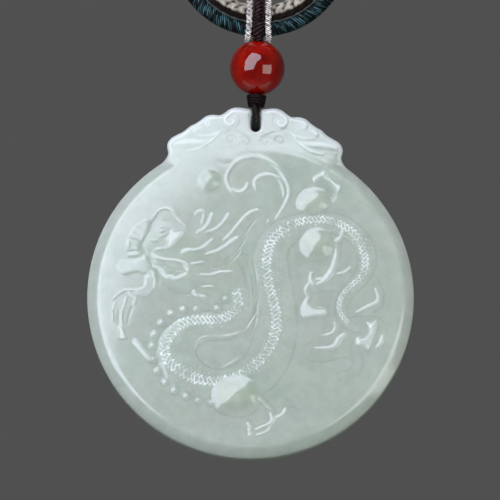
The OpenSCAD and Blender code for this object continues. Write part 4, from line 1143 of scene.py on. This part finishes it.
# The bound knot: its wraps' look, its mesh, and its sizes in mm: radius at its foot, flare,
# turns of thread round it, their ridges, and how much narrower its ends are
knot = dict(plainThread, thread="#2b1614", furrowShade="#020000", threads=30, lead=8, relief=0.06,
            roughness=0.4, deep=0.5, dye=1500, low=0.2, high=1.4, sheen=0, shine=0.12,
            rows=44, columns=48, footR=1.5, flare=0.38, turns=4.5, ridge=0.16, ends=0.25)


# The bound knot: r = (footR + flare t - ridge + ridge |cos(pi (turns t + share round))|^0.7)
# (1 - ends + ends shoulder), the shoulder sqrt(1 - |2 t - 1|^24)
def addKnot():
    rows, columns = knot["rows"], knot["columns"]
    t = np.linspace(0, 1, rows)[:, None]
    a = np.linspace(0, 2 * np.pi, columns, endpoint=False)[None, :]
    wrap = np.abs(np.cos(np.pi * (t * knot["turns"] + a / (2 * np.pi)))) ** 0.7
    shoulder = np.sqrt(np.clip(1 - np.abs(2 * t - 1) ** 24, 0, 1))
    r = knot["footR"] + knot["flare"] * t - knot["ridge"] + knot["ridge"] * wrap
    r = r * (1 - knot["ends"] + knot["ends"] * shoulder)
    z = knotBase + string["knotH"] * t + 0 * a
    points = np.stack([r * np.cos(a), r * np.sin(a), z], -1).reshape(-1, 3)
    piece = addPiece("bound cone knot", points, tubeFaces(rows, columns), "necklace",
                     threadMaterial("waxed brown thread", knot), ["cone_knot"], sharp=60)
    places = tubePlaces(np.linspace(0, string["knotH"], rows), columns)
    # the wraps' furrows take the furrow colour: a painted shade
    setPlaces(piece, places, np.clip((r - r.min()) / np.ptp(r), 0, 1).ravel())


# Agate: dark red chalcedony, turned and polished, so its highlights are small and sharp, and
# light that goes into it makes it glow. Its bands are drawn coarser than the finest real ones.
agate = dict(deep="#5c0300", red="#950900", pale="#ac2400", paleShare=0.16, roughness=0.04,
             ior=1.54, coat=0.2, subsurface=0.85, depth=3, rows=56, columns=96, wallIn=0.02)


# Its colour: deep to red by cloudy noise, and part of the way to pale in the bands of a
# wave bent by noise
def agateMaterial():
    m, t = newMaterial("red agate")
    where = node(t, "TexCoord").outputs["Object"]
    warp = node(t, "TexNoise", dict(Scale=160, Detail=4, Roughness=0.55, Distortion=0.8),
                dict(Vector=where))
    band = node(t, "TexWave", dict(Scale=55, Distortion=5, Detail=3), dict(Vector=where))
    base = node(t, "ValToRGB", {}, dict(Fac=warp))
    for end, at, tint in zip(base.color_ramp.elements, (0.3, 0.7), ("deep", "red")):
        end.position, end.color = at, colour(agate[tint])
    share = node(t, "MapRange", {"From Min": 0.75, "From Max": 1, "To Max": agate["paleShare"]},
                 dict(Value=band.outputs["Fac"]))
    stone = node(t, "Mix", {"data_type": "RGBA", 7: colour(agate["pale"])}, {0: share, 6: base})
    skin = node(t, "BsdfPrincipled", {
        "Roughness": agate["roughness"], "IOR": agate["ior"], "Coat Weight": agate["coat"],
        "Coat Roughness": agate["roughness"], "Subsurface Weight": agate["subsurface"],
        "Subsurface Scale": agate["depth"] * mm, "Subsurface Radius": (1.0, 0.15, 0.08)},
        {"Base Color": stone.outputs[2]})
    node(t, "OutputMaterial", {}, dict(Surface=skin))
    return m


# The drilled bead: a circle's arc from bore to bore and the bore's wall, turned about z
def addBead():
    radius, bore = string["beadD"] / 2, string["bore"] / 2
    start = np.arcsin(bore / radius)
    ball = polar(radius, np.linspace(start, np.pi - start, agate["rows"]))
    lip = ball[0, 1] - 0.1
    profile = np.vstack([ball, [[bore - agate["wallIn"], z] for z in (-lip, 0, lip)]])
    t = np.linspace(0, 2 * np.pi, agate["columns"], endpoint=False)[:, None]
    r, z = profile[:, 0], profile[:, 1] + 0 * t
    points = np.stack([r * np.cos(t), r * np.sin(t), beadMid + z], -1).reshape(-1, 3)
    faces = gridFaces(agate["columns"], len(profile), rowsClose=True)
    addPiece("red agate bead", points, faces[:, ::-1], "necklace", agateMaterial(),
             ["agate_bead"], sharp=40)


# The two softboxes in front: name, distance in m, radiance, colour, and the ways to their
# corners from the pendant in the camera's frame (right, up, towards it)
softboxes = [
    ("main softbox", 0.6, 5.2, "#e8eeff",
     [(-0.82, -0.15, 0.55), (-0.28, -0.06, 0.958), (-0.05, 0.45, 0.89), (0.25, 0.66, 0.7),
      (0.2, 0.8, 0.56), (-0.28, 0.9, 0.33), (-0.74, 0.45, 0.5)]),
    ("right softbox", 0.6, 3.2, "#f2f6f0",
     [(0.37, -0.35, 0.89), (0.86, -0.33, 0.45), (0.86, 0.23, 0.45), (0.37, 0.25, 0.89)]),
]
grey = dict(world="#505050", floor="#d8d6d2", floorZ=-1.5, floorHalf=3)


# Softboxes, world and floor. A softbox lies flat across the mean of its corners' ways, at
# middle + distance way / (way . mean).
def addStage():
    bpy.context.scene.view_settings.view_transform = "Standard"
    middle = np.array([0, 0, discZ * mm])
    toWorld = np.stack([camRight, camUp, camBack])
    for name, far, glow, tint, corners in softboxes:
        ways = np.array([np.array(c) / np.linalg.norm(c) for c in corners])
        centre = ways.mean(0) / np.linalg.norm(ways.mean(0))
        points = middle + (ways / (ways @ centre)[:, None] * far) @ toWorld
        box = addObject(name, points, [range(len(corners))])
        m, t = newMaterial(name)
        lit = node(t, "Emission", dict(Color=colour(tint), Strength=glow))
        node(t, "OutputMaterial", {}, dict(Surface=lit))
        box.data.materials.append(m)
    world = bpy.data.worlds.new("studio grey")
    world.use_nodes = True
    world.node_tree.nodes["Background"].inputs["Color"].default_value = colour(grey["world"])
    bpy.context.scene.world = world
    h, z = grey["floorHalf"], grey["floorZ"]
    floor = addObject("floor", [(-h, -h, z), (h, -h, z), (h, h, z), (-h, h, z)], [range(4)])
    m, t = newMaterial("pale floor")
    skin = node(t, "BsdfPrincipled", {"Base Color": colour(grey["floor"]), "Roughness": 0.9})
    node(t, "OutputMaterial", {}, dict(Surface=skin))
    floor.data.materials.append(m)


addCords()
addKnot()
addBead()
addPlaque()
addStage()
print("stage set")
